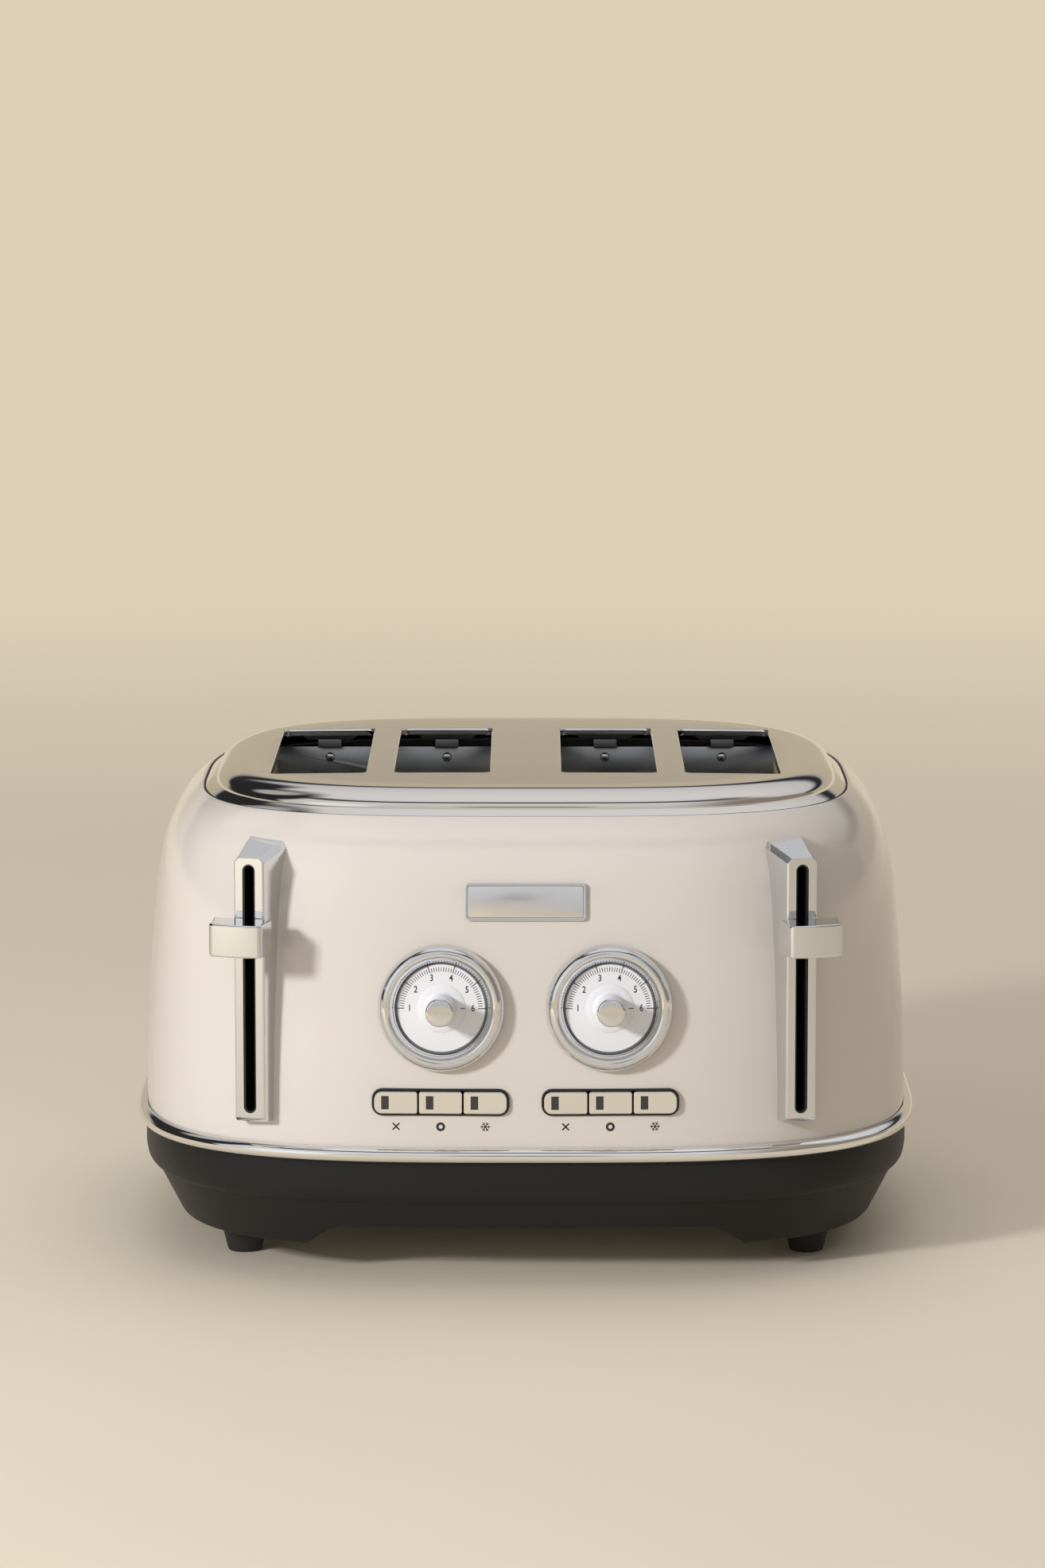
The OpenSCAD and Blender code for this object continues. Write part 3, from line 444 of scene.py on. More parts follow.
mirror_x = Matrix.Scale(-1, 4, (1, 0, 0))
for hand in (Matrix.Identity(4), mirror_x):
    slot_cut = block("slot_cut", (-track_w / 2 - mm, 0, housing_low + track_end),
                     (track_w / 2 + mm, 45 * mm, housing_high - track_end - mm))
    boolean(body_shell, placed(slot_cut, hand @ at_lever))
    put_down()
    bpy.ops.mesh.primitive_cylinder_add(vertices=64, radius=dial_hole_r + 0.1 * mm, depth=12 * mm)
    boolean(body_shell, placed(bpy.context.object, hand @ on_front(dial_x, dial_z)))
    half = (row_w / 2 + button_clear, button_h / 2 + button_clear)
    button_cut = block("button_cut", (-half[0], -half[1], -6 * mm), (*half, 6 * mm))
    pick_up(button_cut, "EDIT")
    bevel_where(lambda edge: span(edge, 2) > 10 * mm, 3.9 * mm, 6)
    put_down()
    boolean(body_shell, placed(button_cut, hand @ on_front(button_x, button_z)))
smooth(body_shell, 40)
dress(body_shell, cream_enamel, "housing", "enamel", "body_shell")


def copy_of(piece, name, place=Matrix.Identity(4)):
    """A copy of a piece with its own mesh, put at its place."""
    pick_up(piece)
    bpy.ops.object.duplicate()
    twin = bpy.context.object
    twin.name = twin.data.name = name
    return placed(twin, place)


def joined(name, pieces):
    """Joins pieces of the same stuff into one."""
    pick_up(pieces[0])
    for piece in pieces[1:]:
        piece.select_set(True)
    bpy.ops.object.join()
    whole = bpy.context.object
    whole.name = whole.data.name = name
    return whole


# ---- Top plate ----
# One pressing of stainless steel that stands on the seal: a rounded edge, polished bright, that
# runs into a slightly crowned plate brushed from side to side. It is punched for four slots with
# rolled lips. At both ends of a slot hangs a flap whose tongue hooks over the end plate below.
seal_top = ledge_z + ledge_t + 0.8 * mm
flange_inset = rim_in + 1.7 * mm
crease_inset, crease_high = flange_inset + 3.6 * mm, 2.3 * mm
shoulder_z, cap_top_z = seal_top + 2.7 * mm, body_top + 9.2 * mm
cap_edge_run, cap_wall, cap_crown, flat_share = 13.5 * mm, 1.0 * mm, 1.1 * mm, 0.35
top_inset = crease_inset + 0.5 * mm + cap_edge_run
slot_w, slot_l, slot_r, slot_roll = in_mm(38.5, 138, 3.5, 1.0)
slots_from, slots_apart = in_mm(14.7, 11.8)
slot_xs = [slots_from + slot_w / 2, slots_from + 1.5 * slot_w + slots_apart]
plate_y, sheet, chamber_top = slot_l / 2 + 6 * mm, 0.8 * mm, cap_top_z - 8.2 * mm
chrome = finish("chrome_plate", (0.74, 0.76, 0.78), 0.045, metallic=1.0, mottle=(0.01, 30),
                grain=(0.0012, 5), swing=0.015)
pressed_steel = finish("pressed_steel", (0.77, 0.75, 0.72), 0.20, metallic=1.0, mottle=(0.02, 30),
                       grain=(0.004, 0.5), streak=(0.02, 1, 1), swing=0.05)
polished_steel = finish("polished_steel", (0.86, 0.855, 0.85), 0.06, metallic=1.0, mottle=(0.01, 30),
                        grain=(0.0015, 4), swing=0.02)
dark_steel = finish("dark_steel", (0.17, 0.175, 0.18), 0.36, metallic=1.0, mottle=(0.10, 30),
                    grain=(0.01, 2), swing=0.08)


def polish_low(material, low, high, polish):
    """Lets a brushed finish fade to a polished one from one height down to another."""
    tree = material.node_tree
    where = node(tree, "SeparateXYZ", _0=tree.nodes["Texture Coordinate"].outputs["Object"])
    brushed = band(tree, where.outputs["Z"], low, high)
    gloss = node(tree, "Mix", Factor=brushed, A=polish, B=tree.nodes["Map Range"].outputs["Result"])
    wired(tree, tree.nodes["Principled BSDF"], Roughness=gloss.outputs["Result"])
    wired(tree, tree.nodes["Bump"], Strength=brushed)


polish_low(pressed_steel, cap_top_z + 0.02 * mm, cap_top_z + 0.22 * mm, 0.05)


def rounded_plate(name, w, h, r, z=0.0, steps=8):
    """A flat rounded rectangle about the origin, left in edit mode with its face selected."""
    put_down()
    bpy.ops.mesh.primitive_plane_add(size=1, location=(0, 0, z))
    bpy.context.object.scale = (w, h, 1)
    piece = named(name)
    pick_up(piece, "EDIT")
    choose_all()
    bpy.ops.mesh.bevel(offset=r, offset_type="OFFSET", segments=steps, affect="VERTICES")
    choose_all()
    return piece


def rise(*heights):
    """Extrudes what is selected straight up, once for each height."""
    for height in heights:
        bpy.ops.mesh.extrude_region_move(TRANSFORM_OT_translate={"value": (0, 0, height)})


def step_in(*steps):
    """Insets the selected face by (width, rise) steps, one after another."""
    for width, height in steps:
        bpy.ops.mesh.inset(thickness=width, depth=height)


def arc(r, first, last, count, x=0.0, z=0.0):
    """Points (x, z) on an arc from one angle to another, in degrees."""
    turns = [math.radians(first + (last - first) * k / count) for k in range(count + 1)]
    return [(x + r * math.cos(t), z + r * math.sin(t)) for t in turns]


def round_edges(piece, width, steps=2, degrees=30):
    """Rounds every edge that turns by more than the given angle."""
    return modified(piece, "BEVEL", width=width, segments=steps, limit_method="ANGLE",
                    angle_limit=math.radians(degrees), harden_normals=False)


def crossed(axis, *places):
    """Draws a line round the active mesh at each place along X (0), Y (1) or Z (2)."""
    for place in places:
        choose_all()
        bpy.ops.mesh.bisect(plane_co=[place * (k == axis) for k in range(3)],
                            plane_no=[float(k == axis) for k in range(3)])


def widen(factor):
    """Widens what is selected about the middle."""
    bpy.ops.transform.resize(value=(factor, 1, 1), center_override=(0, 0, 0))


def crown(share):
    """Inset and height of the plate's surface, from its edge (1) towards its middle (0)."""
    return (top_inset + (body_d / 2 - top_inset) * (1 - share),
            cap_top_z + cap_crown * (1 - share ** 2))


shares = (1, 0.97, 0.9, 0.8, 0.68, 0.55, 0.45, flat_share)
edge = [(top_inset - cap_edge_run * u, shoulder_z + (cap_top_z - shoulder_z) * v)
        for u, v in arc(1, 0, 84, 24)]
underside = [(inset, z - cap_wall) for inset, z in map(crown, reversed(shares))]
flange = [(crease_inset + 1.8 * mm, shoulder_z + mm), (crease_inset + 1.6 * mm, seal_top + 1.6 * mm),
          (flange_inset + mm, seal_top), (flange_inset + 0.1 * mm, seal_top),
          (flange_inset, seal_top + 0.3 * mm), (flange_inset + 0.3 * mm, seal_top + 0.62 * mm),
          (crease_inset - 0.5 * mm, seal_top + crease_high - 0.15 * mm),
          (crease_inset - 0.05 * mm, seal_top + crease_high + 0.1 * mm)]
top_plate = shell("top_plate", underside + flange + edge + list(map(crown, shares)), closed="lid")
for x in [side * x for side in (-1, 1) for x in slot_xs]:
    cutter = rounded_plate("slot_cut", slot_w + slot_roll, slot_l + slot_roll, slot_r,
                           z=cap_top_z - 4 * mm)
    rise(8 * mm)
    settle()
    boolean(top_plate, placed(cutter, at(x, 0, 0)))
smooth(top_plate, 30)
dress(top_plate, pressed_steel, "housing", "stainless", "top_cap")

lip_z = cap_top_z - 0.005 * mm
lip = rounded_plate("slot_lip", slot_w + 2 * slot_roll + 0.8 * mm, slot_l + 2 * slot_roll + 0.8 * mm,
                    slot_r + slot_roll, z=lip_z - 0.3 * mm)
step_in((0.2 * mm, 0.27 * mm), (0.2 * mm, 0.03 * mm))
roll = arc(slot_roll, 90, 180, 8)
step_in(*[(x0 - x1, z1 - z0) for (x0, z0), (x1, z1) in zip(roll, roll[1:])])
rise(-2 * mm)
bpy.ops.mesh.delete(type="ONLY_FACE")
crossed(1, *in_mm(45, 23, 0, -23, -45))
modified(lip, "SOLIDIFY", thickness=0.5 * mm, offset=-1)
smooth(lip, 40)
dress(lip, polished_steel)

flap = block("slot_flap", (-15 * mm, 0, chamber_top + 3.5 * mm), (15 * mm, sheet, cap_top_z - 1.2 * mm))
pick_up(flap, "EDIT")
choose_parts("verts", lambda vert: vert.co.z < chamber_top + 4 * mm)
widen(0.6)
tongue = block("slot_tongue", (-5 * mm, 0, chamber_top + 0.05 * mm),
               (5 * mm, sheet, chamber_top + 4.2 * mm))
pick_up(tongue, "EDIT")
crossed(2, chamber_top + 0.75 * mm)
choose_parts("faces", lambda face: face.normal.y > 0.9
             and face.calc_center_median().z < chamber_top + 0.7 * mm)
bpy.ops.mesh.extrude_region_move(TRANSFORM_OT_translate={"value": (0, plate_y - slot_l / 2 + mm, 0)})
for part in (flap, tongue):
    round_edges(part, 0.25 * mm)
flap = joined("slot_flap", [flap, tongue])
placed(flap, at(0, slot_l / 2 + 0.9 * mm, 0))
flap = joined("slot_flaps", [flap, copy_of(flap, "slot_flap_front", Matrix.Rotation(math.pi, 4, "Z"))])
smooth(flap, 30)
dress(flap, dark_steel)
inner_x, outer_x = slot_xs
for label, x in (("left_b", -outer_x), ("left_a", -inner_x), ("right_a", inner_x), ("right_b", outer_x)):
    for part, slot in ((lip, "chrome"), (flap, "stainless")):
        fitted = assigned(copy_of(part, part.name + "_" + label, at(x, 0, 0)), "housing", slot)
        if part is lip:
            for point in fitted.data.vertices:
                across = max(0.0, abs(point.co.x) - (body_w - body_d) / 2) / (body_d / 2 - top_inset)
                along = abs(point.co.y) / (body_d / 2 - top_inset)
                share = (across ** corner_power + along ** corner_power) ** (1 / corner_power)
                point.co.z += cap_crown * (1 - max(share, flat_share) ** 2)
throw_away(lip, flap)

# ---- Seal, trim band and base ----
# The top stands on a black rubber seal. The body's foot sits in a polished rounded band, and
# both go onto a charcoal moulding in textured plastic: a flared skirt with an arch front and
# back, arched finger grips with upright ribs under each side, and bosses for the feet.
base_top, band_lip, band_out = body_foot - 4.2 * mm, body_foot + 2.3 * mm, 4 * mm
seal_rubber = finish("seal_rubber", (0.016, 0.016, 0.017), 0.55, mottle=(0.1, 30),
                     grain=(0.01, 0.6))
seal_in = rim_in + rim_t + 0.2 * mm
gasket = shell("seal", [(seal_in + 0.1 * mm, ledge_z + ledge_t)]
               + [(seal_in - 0.1 * mm + a, ledge_z + ledge_t + 0.4 * mm + b)
                  for a, b in [(0.25 * mm - u, v) for u, v in arc(0.25 * mm, -60, 60, 4)]]
               + [(seal_in + 0.1 * mm, seal_top), (rim_in + ledge_in - 0.5 * mm, seal_top),
                  (rim_in + ledge_in - 0.5 * mm, ledge_z + ledge_t)])
smooth(gasket)
dress(gasket, seal_rubber, "housing", "rubber", "cap_gasket")

band_mid, band_half, fit = (base_top + band_lip) / 2, (band_lip - base_top) / 2, 0.3 * mm
band = shell("trim_band", [(-fit - (band_out - fit) * u / band_half, band_mid + v)
                           for u, v in arc(band_half, -90, 90, 16)]
             + [(-fit, body_foot), (3.2 * mm, body_foot), (3.2 * mm, base_top)])
smooth(band, 40)
dress(band, polished_steel, "housing", "chrome", "trim_band")

skirt_low, crease_z, skirt_taper = in_mm(12.7, 32.4, 9.8)
arch_z, arch_half_w, base_wall, base_bulge = in_mm(22, 76, 3.2, -0.5)
floor_t, flange_w, spigot_in = in_mm(2.5, 34, 3.5)
floor_z, low_inset, spigot_top = arch_z, skirt_taper - base_bulge + 3 * mm, body_foot + 6 * mm
foot_x, foot_y, foot_r = body_w / 2 - 42.5 * mm, body_d / 2 - 68.5 * mm, 7 * mm
boss_low, boss_r, peg_r = skirt_low + 1.3 * mm, foot_r + 4.5 * mm, 2.5 * mm
grip_half_l, grip_in, grip_pitch, rib_w = in_mm(60, 2.2, 4.6, 1.6)
tray_floor, tray_h, tray_in, tray_out = floor_z + floor_t + fit, 8 * mm, 16.5 * mm, 97 * mm
gland_z, gland_r = in_mm(40.5, 6.5)
corners = [(sx * foot_x, sy * foot_y) for sx in (-1, 1) for sy in (-1, 1)]


def skirt_in(z):
    return low_inset - (z - skirt_low) * skirt_taper / (crease_z - skirt_low)


def off(x, z, *steps):
    """Points (x, z), each moved by a step in millimetres."""
    return [(x + out * mm, z + up * mm) for out, up in steps]


def turned(name, profile, closed="lid", steps=64):
    """A round piece about the Z axis through (radius, height) points."""
    put_down()
    bpy.ops.mesh.primitive_circle_add(vertices=steps, radius=profile[0][0],
                                      location=(0, 0, profile[0][1]))
    return drawn_up(named(name), [(r, r, z) for r, z in profile], closed)


charcoal_plastic = finish("charcoal_plastic", (0.012, 0.0115, 0.0115), 0.50, mottle=(0.06, 40),
                          grain=(0.02, 0.45), swing=0.05)
charcoal_plastic.node_tree.nodes["Principled BSDF"].inputs["Specular IOR Level"].default_value = 0.28
bend = [(inset * mm, crease_z + up * mm) for inset, up in ((1.3, 1.6), (0.55, 2.5), (0.1, 3.4))]
bend += [(base_bulge, crease_z + 6.5 * mm)]
skirt = [(low_inset + 0.7 * mm, skirt_low), (low_inset + 0.1 * mm, skirt_low + 0.2 * mm),
         (skirt_in(skirt_low + 0.8 * mm), skirt_low + 0.8 * mm),
         (skirt_in(crease_z - mm), crease_z - mm),
         (skirt_in(crease_z) + 0.05 * mm, crease_z + 0.1 * mm)] + bend
skirt += [(base_bulge, base_top - 4 * mm), (0, base_top - 0.3 * mm), (0.3 * mm, base_top),
          (spigot_in, base_top), (spigot_in, spigot_top), (spigot_in + 2 * mm, spigot_top),
          (spigot_in + 2 * mm, base_top - 3 * mm), (base_bulge + base_wall, base_top - 4 * mm)]
skirt += [(inset + base_wall, z) for inset, z in reversed(bend)]
skirt += [(skirt_in(crease_z) + base_wall, crease_z),
          (skirt_in(floor_z + floor_t) + base_wall, floor_z + floor_t),
          (flange_w, floor_z + floor_t), (flange_w, floor_z), (skirt_in(floor_z) + base_wall, floor_z),
          (low_inset + base_wall - 0.4 * mm, skirt_low)]
base = shell("base", skirt)
for x, y in corners:
    boss = turned("boss", [(boss_r - 0.4 * mm, boss_low), (boss_r, boss_low + 0.4 * mm),
                           (boss_r, floor_z + mm)])
    boolean(base, placed(boss, at(x, y, 0)), "UNION")

arch = block("arch", (-arch_half_w - 12 * mm, -0.2, skirt_low), (arch_half_w + 12 * mm, 0.2, arch_z))
pick_up(arch, "EDIT")
choose_parts("faces", lambda face: face.normal.z < -0.9)
rise(-5 * mm)
choose_parts("verts", lambda vert: vert.co.z > arch_z - mm)
widen(arch_half_w / (arch_half_w + 12 * mm))
bevel_where(lambda edge: all(v.co.z > arch_z - mm for v in edge.verts) and span(edge, 0) < mm, 5 * mm, 6)
settle()
boolean(base, arch)

put_down()
bpy.ops.mesh.primitive_cylinder_add(vertices=72, radius=1, depth=2, rotation=(0, math.pi / 2, 0))
grips = bpy.context.object
grips.scale = (crease_z - 1.5 * mm - skirt_low, grip_half_l, body_w / 2 + 10 * mm)
placed(grips, at(0, 0, skirt_low))
ribs = joined("ribs", [block("rib", (-0.2, k * grip_pitch - rib_w / 2, 0),
                             (0.2, k * grip_pitch + rib_w / 2, 0.06)) for k in range(-13, 14)])
boolean(grips, ribs)
grip_low = skirt_low - 2 * mm
shave = shell("shave", [(skirt_in(z) + inset, z) for inset, z in (
    (-4 * mm, grip_low), (-4 * mm, crease_z), (grip_in, crease_z), (grip_in, grip_low))])
boolean(grips, shave, "INTERSECT")
boolean(base, grips)
plate_in, plate_out = in_mm(5.5, 113.1)
for side in (-1, 1):
    for end in (-1, 1):
        (x0, x1), (y0, y1) = (sorted((side * plate_in, side * plate_out)),
                              sorted((end * (plate_y - mm), end * (plate_y + sheet + mm))))
        boolean(base, block("plate_slot", (x0, y0, floor_z - mm), (x1, y1, floor_z + floor_t + mm)))
    x0, x1 = sorted((side * (tray_in - mm), side * (tray_out + mm)))
    boolean(base, block("tray_slot", (x0, body_d / 2 - 30 * mm, floor_z + floor_t),
                        (x1, body_d / 2 + 5 * mm, tray_floor + tray_h + mm)))
put_down()
bpy.ops.mesh.primitive_cylinder_add(vertices=48, radius=gland_r + 0.05 * mm, depth=40 * mm,
                                    location=(0, body_d / 2, gland_z), rotation=(math.pi / 2, 0, 0))
boolean(base, bpy.context.object)
smooth(base, 32)
dress(base, charcoal_plastic, "housing", "charcoal", "base")

# ---- Underside: plate, screws, feet and cord gland ----
# A zinc-plated steel plate closes the base and carries the chambers. Eight pan-head screws hold
# it. The feet are turned rubber, pushed into the bosses. A moulded gland lets a mains lead in.
zinc_plate = finish("zinc_plate", (0.56, 0.57, 0.58), 0.36, metallic=1.0, mottle=(0.10, 9),
                    grain=(0.008, 1.5), swing=0.07)
foot_rubber = finish("foot_rubber", (0.018, 0.018, 0.018), 0.62, mottle=(0.12, 30),
                     grain=(0.02, 0.5))
black_plastic = finish("black_plastic", (0.012, 0.012, 0.013), 0.34, mottle=(0.08, 30),
                       grain=(0.01, 0.6), swing=0.06)


def refine(cad_node, name, material, body, slot, width=0.25 * mm, steps=2):
    """A merged copy of a CAD piece with its sharp edges rounded, which takes its place."""
    pick_up(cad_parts[cad_node])
    bpy.ops.object.duplicate()
    piece = bpy.context.object
    piece.parent = None
    piece.name = piece.data.name = name
    pick_up(piece, "EDIT")
    choose_all()
    bpy.ops.mesh.remove_doubles(threshold=1e-6)
    bpy.ops.mesh.dissolve_limited(angle_limit=math.radians(0.5))
    round_edges(piece, width, steps, 40)
    smooth(piece)
    dress(piece, material, body, slot, cad_node)


def repaint(cad_node, material):
    """Gives a CAD piece whose shape is right a better finish."""
    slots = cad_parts[cad_node].data.materials
    slots.clear()
    slots.append(material)


repaint("bottom_plate", zinc_plate)
plate_t, screw_r, head_r = in_mm(1.1, 1.45, 2.8)
head_z = floor_z - plate_t - 1.6 * mm
screw = turned("screw", off(head_r, head_z, (-0.9, 0), (-0.35, 0.2), (0, 0.75))
               + [(head_r, floor_z - plate_t), (screw_r, floor_z - plate_t)]
               + off(screw_r, floor_z, (0, 0.7), (-0.5, 0.9)), steps=32)
for w, h in ((0.5, 1.5), (1.5, 0.5)):
    boolean(screw, block("recess", (-w * mm, -h * mm, head_z - mm), (w * mm, h * mm, head_z + mm)))
smooth(screw, 30)
dress(screw, zinc_plate)
screws = [copy_of(screw, "screw_%d" % k,
                  at(*on_outline(2 * math.pi * math.floor((k + 0.5) * 9) / 72, flange_w - 3 * mm), 0))
          for k in range(8)]
assigned(joined("case_screws", screws), "housing", "zinc", "plate_screws")

foot = turned("foot", off(foot_r, 0, (-2.2, 0.35), (-1.9, 0), (-1.2, 0))
              + [(foot_r - 1.2 * mm + u, 1.2 * mm + v) for u, v in arc(1.2 * mm, -70, -5, 5)]
              + off(foot_r, boss_low, (3.0, -1.0), (3.5, -0.4), (3.4, 0))
              + off(peg_r, boss_low, (-0.05, 0), (-0.05, 6.6), (-0.5, 7)))
smooth(foot)
dress(foot, foot_rubber)
feet = [copy_of(foot, "foot_%d" % k, at(x, y, 0)) for k, (x, y) in enumerate(corners)]
assigned(joined("rubber_feet", feet), "housing", "rubber", "feet")
throw_away(screw, foot)

gland_out = body_d / 2 - base_bulge
gland = turned("gland", off(0, 0, (3.6, -12)) + off(gland_r, 0, (-0.35, -12), (-0.05, -11.7), (-0.05, 0),
                                                    (2.5, 0), (2.5, 1.6), (1.9, 2.7), (1.1, 3))
               + off(0, 0, (4.4, 3), (3.8, 2.7), (3.6, 2)), closed="hoop")
placed(gland, at(0, gland_out, gland_z) @ Matrix.Rotation(-math.pi / 2, 4, "X"))
smooth(gland, 35)
dress(gland, black_plastic, "housing", "black", "cord_gland")

# ---- Badge ----
# A blank pressed plate with a polished raised rim round a brushed field. Its back follows the wall.
badge_w, badge_h, badge_z = in_mm(48, 14.8, 153.6)
badge_steel = finish("badge_steel", (0.80, 0.80, 0.81), 0.24, metallic=1.0, mottle=(0.02, 30),
                     grain=(0.006, 0.35), streak=(0.03, 1, 1), swing=0.06)


def seated(piece):
    """Takes away what lies inside the body's outer face."""
    boolean(piece, copy_of(body_form, "seat"))
    return piece


badge = rounded_plate("badge", badge_w, badge_h, 2 * mm, z=-mm)
rise(2.3 * mm)
step_in(*[in_mm(*step) for step in ((0.12, 0.2), (0.22, 0.1), (0.5, 0), (0.16, -0.06), (0.2, -0.5))])
settle()
placed(badge, on_front(0, badge_z))
seated(badge)
smooth(badge, 25)
dress(badge, chrome, "housing", "chrome", "badge_plate")
field = rounded_plate("badge_field", badge_w - 2.5 * mm, badge_h - 2.5 * mm, 1.1 * mm, z=0.9 * mm)
rise(0.22 * mm)
step_in((0.15 * mm, 0.06 * mm))
settle()
placed(field, on_front(0, badge_z))
smooth(field, 25)
dress(field, badge_steel, "housing", "stainless")

# ---- Levers ----
# Each side has a chrome-plated housing with splayed flanks and a sloping head, turned a little
# outward and seated on the wall. A black liner stands in its slot, and a solid chromed knob with
# a bowed front rides up and down in front of it on the carriage's tongue.
housing_w, splay, head_slope, lip_down = 12.4 * mm, math.tan(math.radians(8)), 0.18, 1.9 * mm
housing_deep, housing_wall = in_mm(60, 2.4)
lever_z = 140.6 * mm
knob_w, knob_h, knob_d, knob_gap = in_mm(21.8, 13, 17.5, 1)
knob_flare, knob_skew, knob_bow = in_mm(1.2, 2.3, 1.2)
knob_out = knob_gap + knob_d
tongue_t, tongue_h = in_mm(3, 8)
track_low = housing_low + track_end
track_high = housing_high - track_end - 0.6 * mm


def track_bar(name, width, near, far):
    """A round-ended upright bar that fills the lever's track from one depth to another."""
    tall = track_high - track_low - (track_w - width)
    bar = rounded_plate(name, width, tall, width / 2 - 0.001 * mm, steps=12)
    rise(far - near)
    settle()
    return placed(bar, at(0, far, (track_low + track_high) / 2)
                  @ Matrix.Rotation(math.pi / 2, 4, "X"))


housing = block("lever_housing", (-housing_w / 2, 0, housing_low),
                (housing_w / 2, housing_deep, housing_high))
pick_up(housing, "EDIT")
crossed(1, 3 * mm)
for depth in (3 * mm, housing_deep):
    choose_parts("verts", lambda vert: abs(vert.co.y - depth) < 0.1 * mm)
    widen(1 + 2 * depth * splay / housing_w)
    for above, move in ((1, depth * head_slope), (-1, -lip_down)):
        choose_parts("verts", lambda vert: abs(vert.co.y - depth) < 0.1 * mm
                     and (vert.co.z - lever_z) * above > 0)
        bpy.ops.transform.translate(value=(0, 0, move))


def along_head(edge):
    """Is this one of the two edges where the head meets a flank?"""
    (one, two), high = [vert.co for vert in edge.verts], housing_high - mm
    return one.z > high and two.z > high and abs(one.x) > 5 * mm and one.x * two.x > 0


bevel_where(along_head, 1.9 * mm, 1)
bevel_where(lambda edge: edge.calc_length() > 50 * mm and max(v.co.y for v in edge.verts) < mm,
            0.9 * mm, 4)
round_edges(housing, 0.45 * mm, 3, 12)
room_inside = block("room_inside", (-4 * mm, housing_wall, housing_low + housing_wall),
                    (4 * mm, housing_deep + mm, housing_high - housing_wall))
pick_up(room_inside, "EDIT")
choose_parts("verts", lambda vert: vert.co.y > 10 * mm)
widen(1.5)
boolean(housing, room_inside)
boolean(housing, track_bar("track", track_w, -2 * mm, housing_deep))
placed(housing, at_lever)
seated(housing)
smooth(housing, 30)
dress(housing, chrome)

liner = track_bar("track_liner", track_w - 0.1 * mm, 0.5 * mm, 14 * mm)
boolean(liner, track_bar("liner_room", track_w - 1.4 * mm, -2 * mm, 20 * mm))
smooth(liner, 30)
placed(liner, at_lever)
dress(liner, black_plastic)

knob = block("lever_knob", (-knob_w / 2, -knob_out, lever_z - knob_h / 2),
             (knob_w / 2, -knob_gap, lever_z + knob_h / 2))
pick_up(knob, "EDIT")
choose_parts("verts", lambda vert: vert.co.y > -2 * mm)
widen(1 + 2 * knob_flare / knob_w)
bpy.ops.transform.translate(value=(knob_skew, 0, 0))
crossed(0, *[k / 6 * knob_w / 2 for k in range(-5, 6)])
for point in bmesh.from_edit_mesh(knob.data).verts:
    if point.co.y < -knob_out + 0.1 * mm:
        point.co.y += knob_bow * (2 * point.co.x / knob_w) ** 2
bmesh.update_edit_mesh(knob.data)
bevel_where(lambda edge: span(edge, 2) > 5 * mm and edge.verts[0].co.y < -10 * mm
            and min(abs(v.co.x) for v in edge.verts) > 0.49 * knob_w, 2.2 * mm, 6)
bevel_where(lambda edge: span(edge, 2) > 5 * mm and edge.verts[0].co.y > -2 * mm
            and abs(edge.verts[0].co.x) > 0.45 * knob_w, 0.7 * mm, 3)
bevel_where(lambda edge: len(edge.link_faces) == 2 and abs(edge.link_faces[0].normal.z
            - edge.link_faces[1].normal.z) > 0.5, 0.8 * mm, 4)
settle()
snug = 0.02 * mm
boolean(knob, block("pocket", (-tongue_t / 2 - snug, -knob_out + 2.5 * mm, lever_z - tongue_h / 2 - snug),
                    (tongue_t / 2 + snug, 0, lever_z + tongue_h / 2 + snug)))
smooth(knob, 30)
placed(knob, at_lever)
dress(knob, chrome)


def fitted_part(part, side, place, body, slot, *cad_nodes):
    """Puts a copy of a finished part in its place on the left or the right."""
    fitted = copy_of(part, part.name.split(".")[0] + "_fitted_" + side, place)
    return assigned(fitted, body, slot, *cad_nodes)


for side, hand in (("left", mirror_x), ("right", Matrix.Identity(4))):
    even_out(fitted_part(housing, side, hand, "housing", "chrome", "lever_housing_" + side))
    even_out(fitted_part(liner, side, hand, "housing", "black"))
    even_out(fitted_part(knob, side, hand, "lever_" + side, "chrome", "lever_knob_" + side))
throw_away(housing, liner, knob)

# ---- Dials ----
# Browning controls: a rounded chrome bezel seated on the wall, a white moulded face printed with a
# scale from 1 to 6 in a dark ring whose colour is painted shade for the groove round the face, and a
# white knob with a chromed cap on a steel shaft. Bezel and face stay with the housing; the knob, its
# pointer line and its cap turn.
face_top, face_back, dial_tip, shaft_r = in_mm(2.2, -2.8, 19.4, 3)
cap_r, stem_r, crest_r = in_mm(5.65, 4.95, 21.8)
white_plastic = finish("white_plastic", (0.73, 0.735, 0.765), 0.30, mottle=(0.012, 30),
                       grain=(0.003, 2), swing=0.04)
# Painted shade: this dark plastic colours the ring between the white face and the bezel to stand for the
# shadow in the groove there.
painted_shade_plastic = finish("painted_shade_plastic", (0.10, 0.105, 0.115), 0.16, mottle=(0.05, 30),
                        grain=(0.002, 2), swing=0.03)
ink = finish("printed_ink", (0.022, 0.022, 0.026), 0.45, mottle=(0.10, 3), grain=(0.002, 0.3))
bezel_outer = [(crest_r + 3.4 * mm * u, 0.7 * mm + 5.8 * mm * v) for u, v in arc(1, 0, 90, 12)]
bezel_inner = [(crest_r - 2.9 * mm * u, 3.4 * mm + 3.1 * mm * v) for u, v in reversed(arc(1, 0, 80, 10))]
bezel = turned("bezel", [(dial_hole_r, -3 * mm), (bezel_r, -3 * mm)] + bezel_outer + bezel_inner
               + off(bezel_in_r, 0, (0.25, 3.1), (0, 2.8), (0, 1.15)) + off(dial_hole_r, 0, (0, 1.15)),
               closed="hoop", steps=128)
